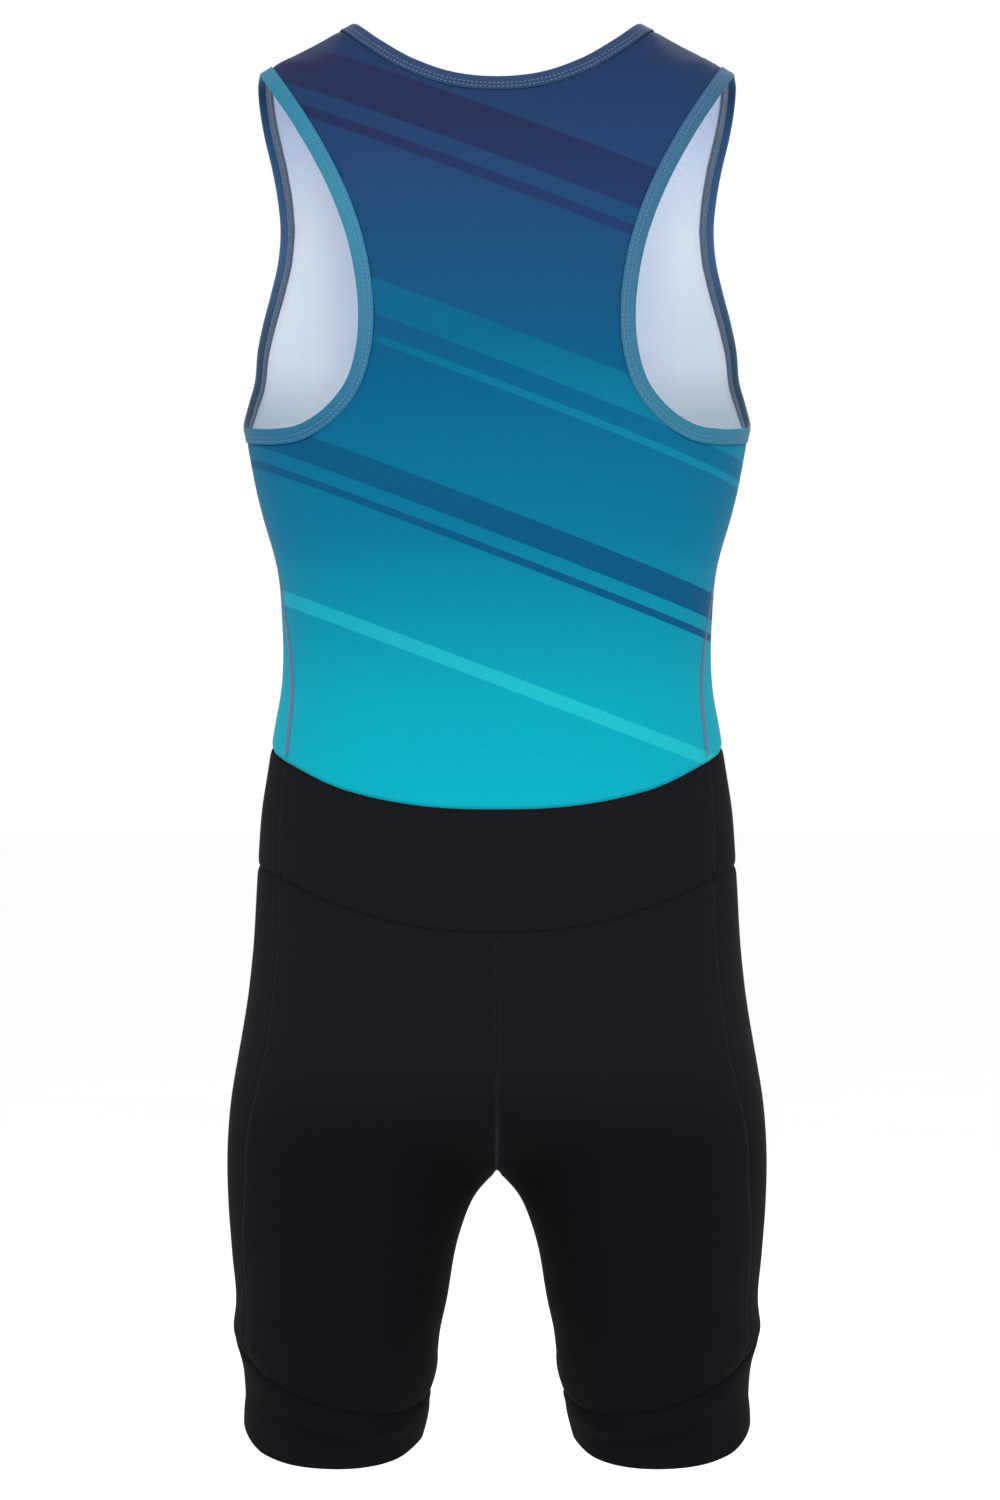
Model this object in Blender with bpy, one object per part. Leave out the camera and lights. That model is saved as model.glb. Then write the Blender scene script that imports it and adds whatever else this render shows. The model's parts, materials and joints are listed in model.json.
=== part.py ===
"""Rowing suit: a sleeveless one-piece in its worn, hollow form, as cut and sewn pieces.

The back faces -Y, the wearer's front +Y and the head end +Z. The origin lies between the
shoulders, where the wearer carries the suit. Every piece is a thin wall laid on one worn form.
A place on that form is a height and a ring fraction: 0 at the centre back or inside leg seam,
1 at the side, and 2 at the centre front or inside leg again. Lengths here are millimetres, and
build_piece turns them to Blender's metres.
"""

import math

import bpy
import numpy as np

MM = 0.001
WALL = 1.2
BINDING_WALL = 2.0
BINDING_PROUD = 0.4
BINDING_WIDTH = 9.6
HALF_GAP = 0.16
CUFF_HALF_GAP = 0.2
BINDING_GAP = 0.35

BACK, FRONT = -1, 1
CROTCH_Z = -719.0
CROTCH_REACH = 2.0
RIBS_Z = -300.0
RIDGE_Z = 50.0
RIDGE_SLOPE = 0.33
RIDGE_ROUND = 70.0
NECK_HALF_WIDTH = 91.5
NECK_BACK_Z = -26.7
NECK_BACK_POWER = 2.2
NECK_FRONT_Z = -104.0
NECK_FRONT_POWER = 2.6

STRAP_COLUMNS = 3
STRAP_ROWS = 5
HALF_COLUMNS = 12
UNDERARM_COLUMNS = 4
NECK_BACK_COLUMNS = 2 * (HALF_COLUMNS - UNDERARM_COLUMNS - STRAP_COLUMNS)
NECK_FRONT_COLUMNS = 2 * (HALF_COLUMNS - STRAP_COLUMNS + STRAP_ROWS)
SIDE_ROWS = 12
ARMHOLE_BACK_ROWS = 18
ARMHOLE_FRONT_ROWS = 14
YOKE_ROWS = 4
RISE_ROWS = 12
INSEAM_ROWS = 8
CUFF_ROWS = 3
RING_STEPS = 97
CURVE_STEPS = 24
NECK_STEPS = 181
SEAM_STEPS = 121
UPRIGHT_STEPS = 241
RELAX_ROUNDS = 150
HALVING_ROUNDS = 40
MEETING_ROUNDS = 30
SLIDE_ROUNDS = 6
SLOPE_STEP = 0.02
CLOTH_ROUGHNESS = 0.75

# The worn form, a row for each level: half width at the side, depth of back and of front.
SECTION_COLUMNS = ("z", "side", "back", "front")
SECTIONS = (
    (30, 200, 50, 40),
    (-20, 200, 66, 54),
    (-60, 196, 85, 71),
    (-110, 188, 99, 89),
    (-160, 178, 105, 103),
    (-200, 170, 106, 110),
    (-241, 162, 104, 112),
    (-289, 152.6, 98, 107),
    (-337, 140, 89, 100),
    (-365, 137.4, 84, 97),
    (-390, 136.6, 82, 95),
    (-415, 138.5, 82, 95),
    (-437, 142.6, 84, 95),
    (-460, 146, 87, 95),
    (-481, 149.4, 91, 94),
    (-529, 153, 102, 93),
    (-577, 155.8, 114, 92),
    (-610, 159.5, 120, 92),
    (-640, 164.5, 122, 92),
    (-673, 169.9, 117, 92),
    (-705, 172.2, 106, 90),
    (-740, 171.5, 97, 88),
    (-775, 168.8, 90, 85),
    (-800, 166.8, 86, 83),
    (-817, 168.4, 84, 81),
    (-827, 167.4, 81, 78),
    (-838, 163.2, 77, 74),
    (-852, 161.3, 72, 70),
    (-872, 160.4, 67, 66),
    (-900, 158, 62, 62),
    (-930, 156, 60, 60),
)

# The parting of the legs: squared half gap between them, negative above the crotch.
PARTING_COLUMNS = ("z", "gap")
PARTING = (
    (-550, -450),
    (-600, -245),
    (-650, -118),
    (-680, -59),
    (-704, -22),
    (-719, 0),
    (-731, 12.2),
    (-750, 21.1),
    (-769, 26.6),
    (-788, 29.8),
    (-808, 33.3),
    (-827, 37.4),
    (-846, 38.8),
    (-865, 43.5),
    (-885, 48.6),
    (-905, 52),
    (-930, 55),
)

# Where the outer side of each leg starts to round, and how square the rings are.
LEG_COLUMNS = ("z", "middle", "power")
LEGS = (
    (-560, 0, 2.4),
    (-600, 2, 2.4),
    (-640, 18, 2.36),
    (-680, 46, 2.32),
    (-720, 76, 2.28),
    (-760, 94, 2.2),
    (-800, 100, 2.1),
    (-865, 102, 2.1),
    (-930, 103, 2.1),
)
LEG_CENTRE = 93.0
LEG_SPREAD = 0.07
LEG_SPREAD_LIMIT = 10.0

# Heights of the level seams and of the hem round the rings.
SEAM_COLUMNS = ("fraction", "waist", "yoke", "cuff", "hem")
SEAMS = (
    (-0.25, -483.4, -557.8, -856, -892),
    (0.00, -485.7, -561.5, -857, -887),
    (0.25, -483.4, -557.8, -867, -897),
    (0.50, -473.8, -544.3, -862.5, -900.5),
    (0.75, -457.3, -527.8, -843.5, -895),
    (1.00, -446.5, -522, -820, -877),
    (1.25, -443.5, -519.5, -838, -886),
    (1.50, -443, -519, -853, -893),
    (1.75, -443.5, -519.5, -856, -892),
    (2.00, -444, -520, -857, -887),
    (2.25, -443.5, -519.5, -867, -897),
)

# The side seam, which turns towards the back below the ribs.
SIDE_COLUMNS = ("z", "fraction")
SIDE_SEAM = (
    (-240, 1.0),
    (-300, 0.97),
    (-353, 0.89),
    (-393, 0.82),
    (-425, 0.78),
    (-455, 0.765),
    (-500, 0.735),
    (-556, 0.695),
    (-600, 0.684),
    (-640, 0.68),
    (-667, 0.70),
    (-700, 0.75),
    (-734, 0.785),
    (-783, 0.81),
    (-828, 0.807),
    (-900, 0.80),
)

# The armhole's open edge as x, z and face, down the back from the shoulder and up the front.
# None stands for a place on the shoulder line or on the side of the form.
ARMHOLE_UNDERARM_ROW = 11
ARMHOLE = (
    (152.3, None, 0),
    (134.8, -46, BACK),
    (118.4, -73, BACK),
    (102.6, -105, BACK),
    (91.6, -138, BACK),
    (86.4, -176, BACK),
    (90.3, -210, BACK),
    (102.0, -230, BACK),
    (118.1, -243, BACK),
    (134.4, -247.2, BACK),
    (148, -246.5, BACK),
    (None, -241, 0),
    (161.5, -229.4, FRONT),
    (157.6, -210, FRONT),
    (156, -188.5, FRONT),
    (151.3, -164, FRONT),
    (145.0, -139, FRONT),
    (141.9, -116, FRONT),
    (142.8, -95, FRONT),
    (146.5, -72, FRONT),
    (152.4, -45, FRONT),
    (154.3, -29, FRONT),
)

PRINT_BLUE = (0.012, 0.16, 0.30, 1.0)
INSIDE_BLUE = (0.45, 0.54, 0.72, 1.0)
BLACK = (0.011, 0.012, 0.014, 1.0)
NAVY = (0.028, 0.055, 0.16, 1.0)
TEAL = (0.045, 0.20, 0.34, 1.0)


def smooth_curve(rows, names, name, where):
    """Read one column of a table as a smooth curve of its first column."""
    ordered = sorted(rows)
    knots = np.array([row[0] for row in ordered], float)
    values = np.array([row[names.index(name)] for row in ordered], float)
    slopes = np.gradient(values, knots)
    where = np.clip(where, knots[0], knots[-1])
    span = np.clip(np.searchsorted(knots, where) - 1, 0, len(knots) - 2)
    width = knots[span + 1] - knots[span]
    t = (where - knots[span]) / width
    return (
        (2 * t**3 - 3 * t**2 + 1) * values[span]
        + (t**3 - 2 * t**2 + t) * width * slopes[span]
        + (3 * t**2 - 2 * t**3) * values[span + 1]
        + (t**3 - t**2) * width * slopes[span + 1]
    )


def section(name, z):
    return smooth_curve(SECTIONS, SECTION_COLUMNS, name, z)


def parting(z):
    """Squared half gap between the legs at height z, negative above the crotch."""
    rows = [(height, gap * abs(gap)) for height, gap in PARTING]
    return smooth_curve(rows, PARTING_COLUMNS, "gap", z)


def seam(name, fraction):
    return smooth_curve(SEAMS, SEAM_COLUMNS, name, fraction)


def side_fraction(z):
    return smooth_curve(SIDE_SEAM, SIDE_COLUMNS, "fraction", z)


def roundness(x, z):
    """How far (x, z) lies towards the edge of the form seen from behind: 1 on the edge."""
    x = np.abs(x)
    power = smooth_curve(LEGS, LEG_COLUMNS, "power", z)
    middle = smooth_curve(LEGS, LEG_COLUMNS, "middle", z)
    outward = np.clip((x - middle) / (section("side", z) - middle), 0, None)
    centre = LEG_CENTRE + np.clip((CROTCH_Z - z) * LEG_SPREAD, 0, LEG_SPREAD_LIMIT)
    gap = parting(z)
    inward = np.clip(1 - (x**2 - gap) / (centre**2 - gap), 0, None)
    inward = np.where(z < LEGS[0][0], inward, 0)
    upward = np.clip(1 - (RIDGE_Z - RIDGE_SLOPE * x - z) / RIDGE_ROUND, 0, None)
    return outward**power + inward**3 + upward**power, power


def depth(x, z, face):
    """The form's y at (x, z) on its back or its front."""
    edge, power = roundness(x, z)
    full = section("back" if face == BACK else "front", z)
    return face * full * np.clip(1 - edge, 0, None) ** (1 / power)


def ridge(x):
    """Height of the shoulder line at x."""
    power = LEGS[0][2]
    share = 1 - (x / section("side", 0.0)) ** power
    return RIDGE_Z - RIDGE_SLOPE * x - RIDGE_ROUND * (1 - share ** (1 / power))


def half_rings(z):
    """The right half ring at each height: x samples and both faces' running lengths."""
    z = np.asarray(z, float)[..., None]
    inner = np.sqrt(np.clip(parting(z), 0, None))
    low = np.maximum(inner, smooth_curve(LEGS, LEG_COLUMNS, "middle", z))
    high = section("side", z)
    for _ in range(HALVING_ROUNDS):
        centre = (low + high) / 2
        inside = roundness(centre, z)[0] < 1
        low = np.where(inside, centre, low)
        high = np.where(inside, high, centre)
    turn = np.linspace(0, math.pi, RING_STEPS)
    x = inner + (low - inner) * (1 - np.cos(turn)) / 2
    lengths = {}
    for face in (BACK, FRONT):
        steps = np.hypot(np.diff(x), np.diff(depth(x, z, face)))
        lengths[face] = np.concatenate([np.zeros_like(x[..., :1]), np.cumsum(steps, axis=-1)], axis=-1)
    return x, lengths


def point(fraction, z):
    """Points of the form at ring fractions and heights; a negative fraction is on the left."""
    fraction, z = np.broadcast_arrays(np.asarray(fraction, float), np.asarray(z, float))
    around = np.abs(fraction)
    x, lengths = half_rings(z)
    places = []
    for face, share in ((BACK, around), (FRONT, 2 - around)):
        length = lengths[face]
        goal = (np.clip(share, 0, 1) * length[..., -1])[..., None]
        index = np.clip((length < goal).sum(axis=-1), 1, RING_STEPS - 1)[..., None]
        before = np.take_along_axis(length, index - 1, -1)
        after = np.take_along_axis(length, index, -1)
        turn = (index - 1 + (goal - before) / (after - before)) * math.pi / (RING_STEPS - 1)
        at = x[..., :1] + (x[..., -1:] - x[..., :1]) * (1 - np.cos(turn)) / 2
        places.append(at[..., 0])
    on_back = around <= 1
    at = np.where(on_back, places[0], places[1])
    y = np.where(on_back, depth(at, z, BACK), depth(at, z, FRONT))
    return np.stack([np.where(fraction < 0, -at, at), y, z], axis=-1)


def level(points):
    """The form's implicit value: 0 on its surface, positive outside."""
    x, y, z = points[..., 0], points[..., 1], points[..., 2]
    edge, power = roundness(x, z)
    full = np.where(y < 0, section("back", z), section("front", z))
    return (np.abs(y) / full) ** power + edge - 1


def slope(points):
    parts = []
    for axis in range(3):
        move = np.zeros(3)
        move[axis] = SLOPE_STEP
        parts.append((level(points + move) - level(points - move)) / (2 * SLOPE_STEP))
    return np.stack(parts, axis=-1)


def normals(points):
    direction = slope(points)
    return direction / np.linalg.norm(direction, axis=-1, keepdims=True)


def onto_form(points):
    """Slide points along the slope until they lie on the form."""
    for _ in range(SLIDE_ROUNDS):
        direction = slope(points)
        size = np.clip((direction**2).sum(axis=-1, keepdims=True), 1e-8, None)
        points = points - level(points)[..., None] * direction / size
    return points


def place_on_ring(points):
    """Ring fractions of points, from the nearest place on the ring at their height."""
    x, lengths = half_rings(points[:, 2])
    fractions = []
    for target, xs, back, front in zip(points, x, lengths[BACK], lengths[FRONT]):
        heights = np.full_like(xs, target[2])
        ring_x = np.concatenate([xs, xs[-2::-1]])
        ring_y = np.concatenate([depth(xs, heights, BACK), depth(xs, heights, FRONT)[-2::-1]])
        share = np.concatenate([back / back[-1], 2 - front[-2::-1] / front[-1]])
        line = np.stack([ring_x, ring_y], axis=-1)
        start, run = line[:-1], np.diff(line, axis=0)
        offset = np.array([abs(target[0]), target[1]]) - start
        t = np.clip((offset * run).sum(axis=1) / np.clip((run**2).sum(axis=1), 1e-12, None), 0, 1)
        nearest = np.argmin(((offset - run * t[:, None]) ** 2).sum(axis=1))
        value = share[nearest] + (share[nearest + 1] - share[nearest]) * t[nearest]
        fractions.append(math.copysign(value, target[0]))
    return np.array(fractions)


def evenly(points, spans):
    """Points at even distances along an open run of points, ends kept."""
    steps = np.linalg.norm(np.diff(points, axis=0), axis=1)
    travelled = np.concatenate([[0], np.cumsum(steps)])
    goals = np.linspace(0, travelled[-1], spans + 1)
    return np.stack([np.interp(goals, travelled, points[:, axis]) for axis in range(3)], axis=1)


def closed_curve(points):
    """A smooth closed curve through points, CURVE_STEPS to a span."""
    t = np.arange(CURVE_STEPS)[:, None] / CURVE_STEPS
    count = len(points)
    runs = []
    for index in range(count):
        p0, p1, p2, p3 = (points[(index + shift) % count] for shift in (-1, 0, 1, 2))
        runs.append(
            0.5
            * (
                2 * p1
                + (p2 - p0) * t
                + (2 * p0 - 5 * p1 + 4 * p2 - p3) * t**2
                + (3 * p1 - p0 - 3 * p2 + p3) * t**3
            )
        )
    return onto_form(np.concatenate(runs))


def armhole_edge():
    """The right armhole's open edge, and how many of its points belong to the back."""
    points = []
    for x, z, face in ARMHOLE:
        z = ridge(x) if z is None else float(z)
        x = section("side", z) if x is None else x
        y = 0.0 if face == 0 else float(depth(np.float64(x), np.float64(z), face))
        points.append((float(x), y, float(z)))
    curve = closed_curve(np.array(points))
    corner = ARMHOLE_UNDERARM_ROW * CURVE_STEPS
    down = evenly(curve[: corner + 1], ARMHOLE_BACK_ROWS)
    up = evenly(np.concatenate([curve[corner:], curve[:1]]), ARMHOLE_FRONT_ROWS)
    return onto_form(np.concatenate([down[:-1], up[:-1]]))


def neck_edge():
    """The neck's open edge, from the left shoulder round the back and on round the front."""
    turn = np.linspace(-math.pi / 2, math.pi / 2, NECK_STEPS)
    top = ridge(NECK_HALF_WIDTH)
    runs = []
    halves = (
        (BACK, NECK_BACK_Z, NECK_BACK_POWER, NECK_BACK_COLUMNS),
        (FRONT, NECK_FRONT_Z, NECK_FRONT_POWER, NECK_FRONT_COLUMNS),
    )
    for face, low, power, columns in halves:
        across = np.sin(turn) * -face
        x = NECK_HALF_WIDTH * across
        z = low + (top - low) * np.abs(across) ** power
        y = depth(x, z, face)
        y[[0, -1]] = 0
        runs.append(evenly(np.stack([x, y, z], axis=1), columns))
    return onto_form(np.concatenate([runs[0][:-1], runs[1][:-1]]))


def beside(edge, distance):
    """Points on the form at a distance from a closed edge, on the cloth's side of it."""
    along = np.roll(edge, -1, axis=0) - np.roll(edge, 1, axis=0)
    across = np.cross(along, normals(edge))
    across /= np.linalg.norm(across, axis=1, keepdims=True)
    return onto_form(edge + across * distance)


def seam_line(name, start, end, spans, shift=0.0):
    """A level seam between two ring fractions, as (fraction, z) at even distances."""
    fractions = np.linspace(start, end, SEAM_STEPS)
    line = point(fractions, seam(name, np.abs(fractions)))
    steps = np.linalg.norm(np.diff(line, axis=0), axis=1)
    travelled = np.concatenate([[0], np.cumsum(steps)])
    chosen = np.interp(np.linspace(0, travelled[-1], spans + 1), travelled, fractions)
    return np.stack([chosen, seam(name, np.abs(chosen)) + shift], axis=1)


def seam_meeting(name):
    """The fraction at which a level seam meets the side seam."""
    fraction = 1.0
    for _ in range(MEETING_ROUNDS):
        fraction = float(side_fraction(seam(name, fraction)))
    return fraction


def upright_line(fraction_at, high, low, spans):
    """An upright seam from one height to another, as (fraction, z) at even distances."""
    share = np.linspace(0, 1, UPRIGHT_STEPS)
    z = high + (low - high) * (1 - np.cos(share * math.pi)) / 2
    line = point(fraction_at(z), z)
    steps = np.linalg.norm(np.diff(line, axis=0), axis=1)
    travelled = np.concatenate([[0], np.cumsum(steps)])
    chosen = np.interp(np.linspace(0, travelled[-1], spans + 1), travelled, z)
    return np.stack([fraction_at(chosen), chosen], axis=1)


def aside(line, sign):
    """Shift a line of (fraction, z) by half a seam gap round the ring."""
    shifted = line.copy()
    shifted[:, 0] += sign * HALF_GAP / ring_length(line[:, 1], BACK)
    return shifted


def coons(bottom, top, left, right, hold=1):
    """Fill a four-sided net; bottom and top run left to right, left and right run upwards.

    A hold over 1 keeps the shape of the top edge close to that edge.
    """
    u = np.linspace(0, 1, len(bottom))[None, :, None]
    v = np.linspace(0, 1, len(left))[:, None, None]
    across = (1 - u) * left[:, None] + u * right[:, None]
    above = top - ((1 - u[0]) * top[0] + u[0] * top[-1])
    below = bottom - ((1 - u[0]) * bottom[0] + u[0] * bottom[-1])
    return across + (1 - v) * below[None] + v**hold * above[None]


def mirrored(line):
    return line * np.array([-1.0, 1.0])


def over_front(net):
    """Turn a net counted from the centre front into ring fractions."""
    turned = net.copy()
    turned[..., 0] = np.where(net[..., 0] < 0, -2 - net[..., 0], 2 - net[..., 0])
    return turned


def ring_length(z, face):
    """Length of half a ring, from the centre line to the side, at each height."""
    return half_rings(z)[1][face][..., -1]


def unrolled(line, face):
    """Turn (fraction from the centre line, z) into (distance from the centre line, z)."""
    return np.stack([line[..., 0] * ring_length(line[..., 1], face), line[..., 1]], axis=-1)


def rolled(line, face):
    """Turn (distance from the centre line, z) back into (fraction, z)."""
    return np.stack([line[..., 0] / ring_length(line[..., 1], face), line[..., 1]], axis=-1)


def from_centre(points, face):
    """Points of the form as (fraction from the panel's own centre line, z)."""
    fraction = np.abs(place_on_ring(points))
    around = fraction if face == BACK else 2 - fraction
    return np.stack([np.sign(points[:, 0]) * around, points[:, 2]], axis=1)


def panel_edges(face):
    """The panel's side seam, armhole, shoulder and neck edges, as (fraction, z) lines."""
    width = BINDING_WIDTH + BINDING_GAP
    arm_points = beside(armhole_edge(), width)
    neck_points = beside(neck_edge(), width)
    if face == BACK:
        arm_run = arm_points[: ARMHOLE_BACK_ROWS + 1][::-1]
        neck_run = neck_points[: NECK_BACK_COLUMNS + 1]
    else:
        arm_run = np.concatenate([arm_points[ARMHOLE_BACK_ROWS:], arm_points[:1]])
        neck_run = np.concatenate([neck_points[NECK_BACK_COLUMNS:], neck_points[:1]])[::-1]
    arm = from_centre(arm_run, face)
    throat = from_centre(neck_run, face)

    under_fraction, under_z = arm[0]
    if face == FRONT:
        under_fraction = 2 - under_fraction

    def side_at(z):
        blend = np.clip((z - RIBS_Z) / (under_z - RIBS_Z), 0, 1) ** 2
        return side_fraction(z) * (1 - blend) + under_fraction * blend

    side = upright_line(side_at, under_z, seam("waist", seam_meeting("waist")), SIDE_ROWS)[::-1]
    if face == FRONT:
        side[:, 0] = 2 - side[:, 0]
    side = aside(side, -1)
    side[0, 1] += HALF_GAP
    arm[0] = side[-1]

    start, end = unrolled(throat[-1], face), unrolled(arm[-1], face)
    shoulder = aside(rolled(flat_run(start, end, STRAP_COLUMNS), face), -1)
    arm[-1] = shoulder[-1]
    throat[0], throat[-1] = mirrored(shoulder[0]), shoulder[0]
    return side, arm, shoulder, throat


def joined(nets):
    """Points and quads of flat nets, sewn together where their points coincide."""
    numbers, points, faces = {}, [], []
    for net in nets:
        index = np.empty(net.shape[:2], int)
        for place in np.ndindex(index.shape):
            key = tuple(np.round(net[place], 6))
            if key not in numbers:
                numbers[key] = len(points)
                points.append(net[place])
            index[place] = numbers[key]
        faces += net_faces(index)
    return np.array(points), faces


def relaxed(flat, faces):
    """Let the inner points of a flat net settle midway between their neighbours."""
    edges = np.array(sorted({(q[i], q[(i + 1) % 4]) for q in faces for i in range(4)}))
    known = {tuple(edge) for edge in edges.tolist()}
    rim = {end for a, b in known if (b, a) not in known for end in (a, b)}
    inner = np.array([index not in rim for index in range(len(flat))])
    both = np.unique(np.concatenate([edges, edges[:, ::-1]]), axis=0)
    count = np.bincount(both[:, 0], minlength=len(flat))[:, None]
    for _ in range(RELAX_ROUNDS):
        total = np.zeros_like(flat)
        np.add.at(total, both[:, 0], flat[both[:, 1]])
        flat = np.where(inner[:, None], total / count, flat)
    return flat


def flat_run(start, end, spans):
    return start + (end - start) * np.linspace(0, 1, spans + 1)[:, None]


def back_panel_cloth():
    """The back panel in two nets: the ribs below, and the racer back above the armholes."""
    side, arm, shoulder, throat = (unrolled(line, BACK) for line in panel_edges(BACK))
    meeting = seam_meeting("waist")
    bottom = unrolled(seam_line("waist", -meeting, meeting, 2 * HALF_COLUMNS, HALF_GAP), BACK)
    bottom[0], bottom[-1] = mirrored(side[0]), side[0]
    under = arm[: UNDERARM_COLUMNS + 1][::-1]
    middle = flat_run(mirrored(under[0]), under[0], 2 * (HALF_COLUMNS - UNDERARM_COLUMNS))
    line = np.concatenate([mirrored(under)[::-1], middle[1:-1], under])
    upright = arm[UNDERARM_COLUMNS:]
    top = np.concatenate([mirrored(shoulder)[::-1], throat[1:-1], shoulder])
    nets = (coons(bottom, line, mirrored(side), side), coons(middle, top, mirrored(upright), upright))
    flat, faces = joined(nets)
    flat = rolled(relaxed(flat, faces), BACK)
    return point(flat[:, 0], flat[:, 1]), faces


def front_panel_cloth():
    """The front panel in three nets: the chest, and a strap on either side of the neck."""
    side, arm, shoulder, throat = (unrolled(line, FRONT) for line in panel_edges(FRONT))
    bottom = unrolled(front_seam_line("waist", 2 * HALF_COLUMNS, HALF_GAP), FRONT)
    bottom[0], bottom[-1] = mirrored(side[0]), side[0]
    arm_low, arm_high = arm[: -STRAP_ROWS], arm[-STRAP_ROWS - 1 :]
    neck_low, neck_high = throat[STRAP_ROWS:-STRAP_ROWS], throat[-STRAP_ROWS - 1 :]
    right = np.concatenate([side[:-1], arm_low])
    cross = flat_run(neck_low[-1], right[-1], STRAP_COLUMNS)
    line = np.concatenate([mirrored(cross)[::-1], neck_low[1:-1], cross])
    strap = coons(cross, shoulder, neck_high, arm_high)
    other = coons(mirrored(cross)[::-1], mirrored(shoulder)[::-1], mirrored(arm_high), mirrored(neck_high))
    flat, faces = joined((coons(bottom, line, mirrored(right), right, hold=3), strap, other))
    flat = over_front(rolled(flat, FRONT))
    return point(flat[:, 0], flat[:, 1]), faces


def front_seam_line(name, columns, shift):
    """A level seam round the front, counted from the centre front, side seam to side seam."""
    half = seam_line(name, 2.0, seam_meeting(name), columns // 2, shift)
    half[:, 0] = 2 - half[:, 0]
    return np.concatenate([mirrored(half[:0:-1]), half])


def waist_net(face):
    """The net of half of the waist yoke, counted from its own centre line."""
    columns = 2 * HALF_COLUMNS
    if face == BACK:
        lines = [
            seam_line(name, -seam_meeting(name), seam_meeting(name), columns, shift)
            for name, shift in (("yoke", HALF_GAP), ("waist", -HALF_GAP))
        ]
    else:
        lines = [front_seam_line("yoke", columns, HALF_GAP), front_seam_line("waist", columns, -HALF_GAP)]
    high, low = lines[1][-1, 1], lines[0][-1, 1]
    right = upright_line(side_fraction, high, low, YOKE_ROWS)[::-1]
    if face == FRONT:
        right[:, 0] = 2 - right[:, 0]
    right = aside(right, -1)
    for line, row in zip(lines, (0, -1)):
        line[0], line[-1] = mirrored(right[row]), right[row]
    return coons(lines[0], lines[1], mirrored(right), right)


def leg_cloth(face):
    """The right back or front of the shorts, laid out flat from the side and then on the form."""
    rows = RISE_ROWS + INSEAM_ROWS
    centre = 0.0 if face == BACK else 2.0
    high = float(seam("yoke", centre)) - HALF_GAP
    low = float(seam("cuff", centre)) + CUFF_HALF_GAP

    def at_centre(z):
        return np.full_like(z, centre)

    rise = upright_line(at_centre, high, CROTCH_Z, RISE_ROWS)
    inseam = upright_line(at_centre, CROTCH_Z, low, INSEAM_ROWS)
    top = seam_line("yoke", centre, seam_meeting("yoke"), HALF_COLUMNS, -HALF_GAP)
    bottom = seam_line("cuff", centre, seam_meeting("cuff"), HALF_COLUMNS, CUFF_HALF_GAP)
    inner = np.concatenate([rise, inseam[1:]])[::-1]
    outer = upright_line(side_fraction, top[-1, 1], bottom[-1, 1], rows)[::-1]
    inner, outer = aside(inner, -face), aside(outer, face)
    top[0], top[-1] = inner[-1], outer[-1]
    bottom[0], bottom[-1] = inner[0], outer[0]

    def from_side(line):
        return np.stack([(line[:, 0] - 1) * ring_length(line[:, 1], face), line[:, 1]], axis=1)

    net = coons(*(from_side(line) for line in (bottom, top, inner, outer)))
    flat, faces = joined([net])
    flat = relaxed(flat, faces)
    points = point(1 + flat[:, 0] / ring_length(flat[:, 1], face), flat[:, 1])
    near = np.abs(points[:, 2] - CROTCH_Z) < CROTCH_REACH
    points[:, 0] = np.maximum(points[:, 0], HALF_GAP)
    points[near, 1] = face * np.maximum(face * points[near, 1], HALF_GAP)
    return points, faces


def cuff_net():
    """The net of the right leg band, once round the leg."""
    meeting = seam_meeting("cuff")
    back = seam_line("cuff", 0.0, meeting, HALF_COLUMNS, -CUFF_HALF_GAP)
    front = seam_line("cuff", meeting, 2.0, HALF_COLUMNS, -CUFF_HALF_GAP)
    top = np.concatenate([back, front[1:-1]])
    bottom = np.stack([top[:, 0], seam("hem", top[:, 0])], axis=1)
    shares = np.linspace(0, 1, CUFF_ROWS + 1)[:, None, None]
    return bottom[None] + (top - bottom)[None] * shares


def net_faces(index, closed=False):
    """Quads over a net of point numbers, open or closed round its columns."""
    rows, columns = index.shape
    spans = columns if closed else columns - 1
    faces = []
    for row in range(rows - 1):
        for column in range(spans):
            following = (column + 1) % columns
            low, high = index[row], index[row + 1]
            faces.append((low[column], low[following], high[following], high[column]))
    return faces


def net_cloth(net, closed=False):
    """Points and faces of the cloth over a net of (fraction, z)."""
    faces = net_faces(np.arange(net[..., 0].size).reshape(net.shape[:2]), closed)
    return point(net[..., 0], net[..., 1]).reshape(-1, 3), faces


def triangles(points, faces):
    """Cut each quad along its shorter diagonal."""
    cut = []
    for a, b, c, d in faces:
        if np.linalg.norm(points[a] - points[c]) <= np.linalg.norm(points[b] - points[d]):
            cut += [(a, b, c), (a, c, d)]
        else:
            cut += [(a, b, d), (b, c, d)]
    return cut


def thickened(points, faces, wall, proud):
    """A closed wall on a sheet: both layers, and a rim along every open edge."""
    facing = normals(points)
    sheet = triangles(points, faces)
    count = len(points)
    layers = np.concatenate([points + facing * proud, points + facing * (proud - wall)])
    solid = list(sheet) + [(c + count, b + count, a + count) for a, b, c in sheet]
    edges = {(t[i], t[(i + 1) % 3]) for t in sheet for i in range(3)}
    for start, end in sorted(edges):
        if (end, start) not in edges:
            solid += [(end, start, start + count), (end, start + count, end + count)]
    return layers, solid


def cloth_material(name, colour):
    material = bpy.data.materials.new(name)
    material.use_nodes = True
    shader = material.node_tree.nodes["Principled BSDF"]
    shader.inputs["Base Color"].default_value = colour
    shader.inputs["Roughness"].default_value = CLOTH_ROUGHNESS
    shader.inputs["Metallic"].default_value = 0.0
    return material


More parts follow.
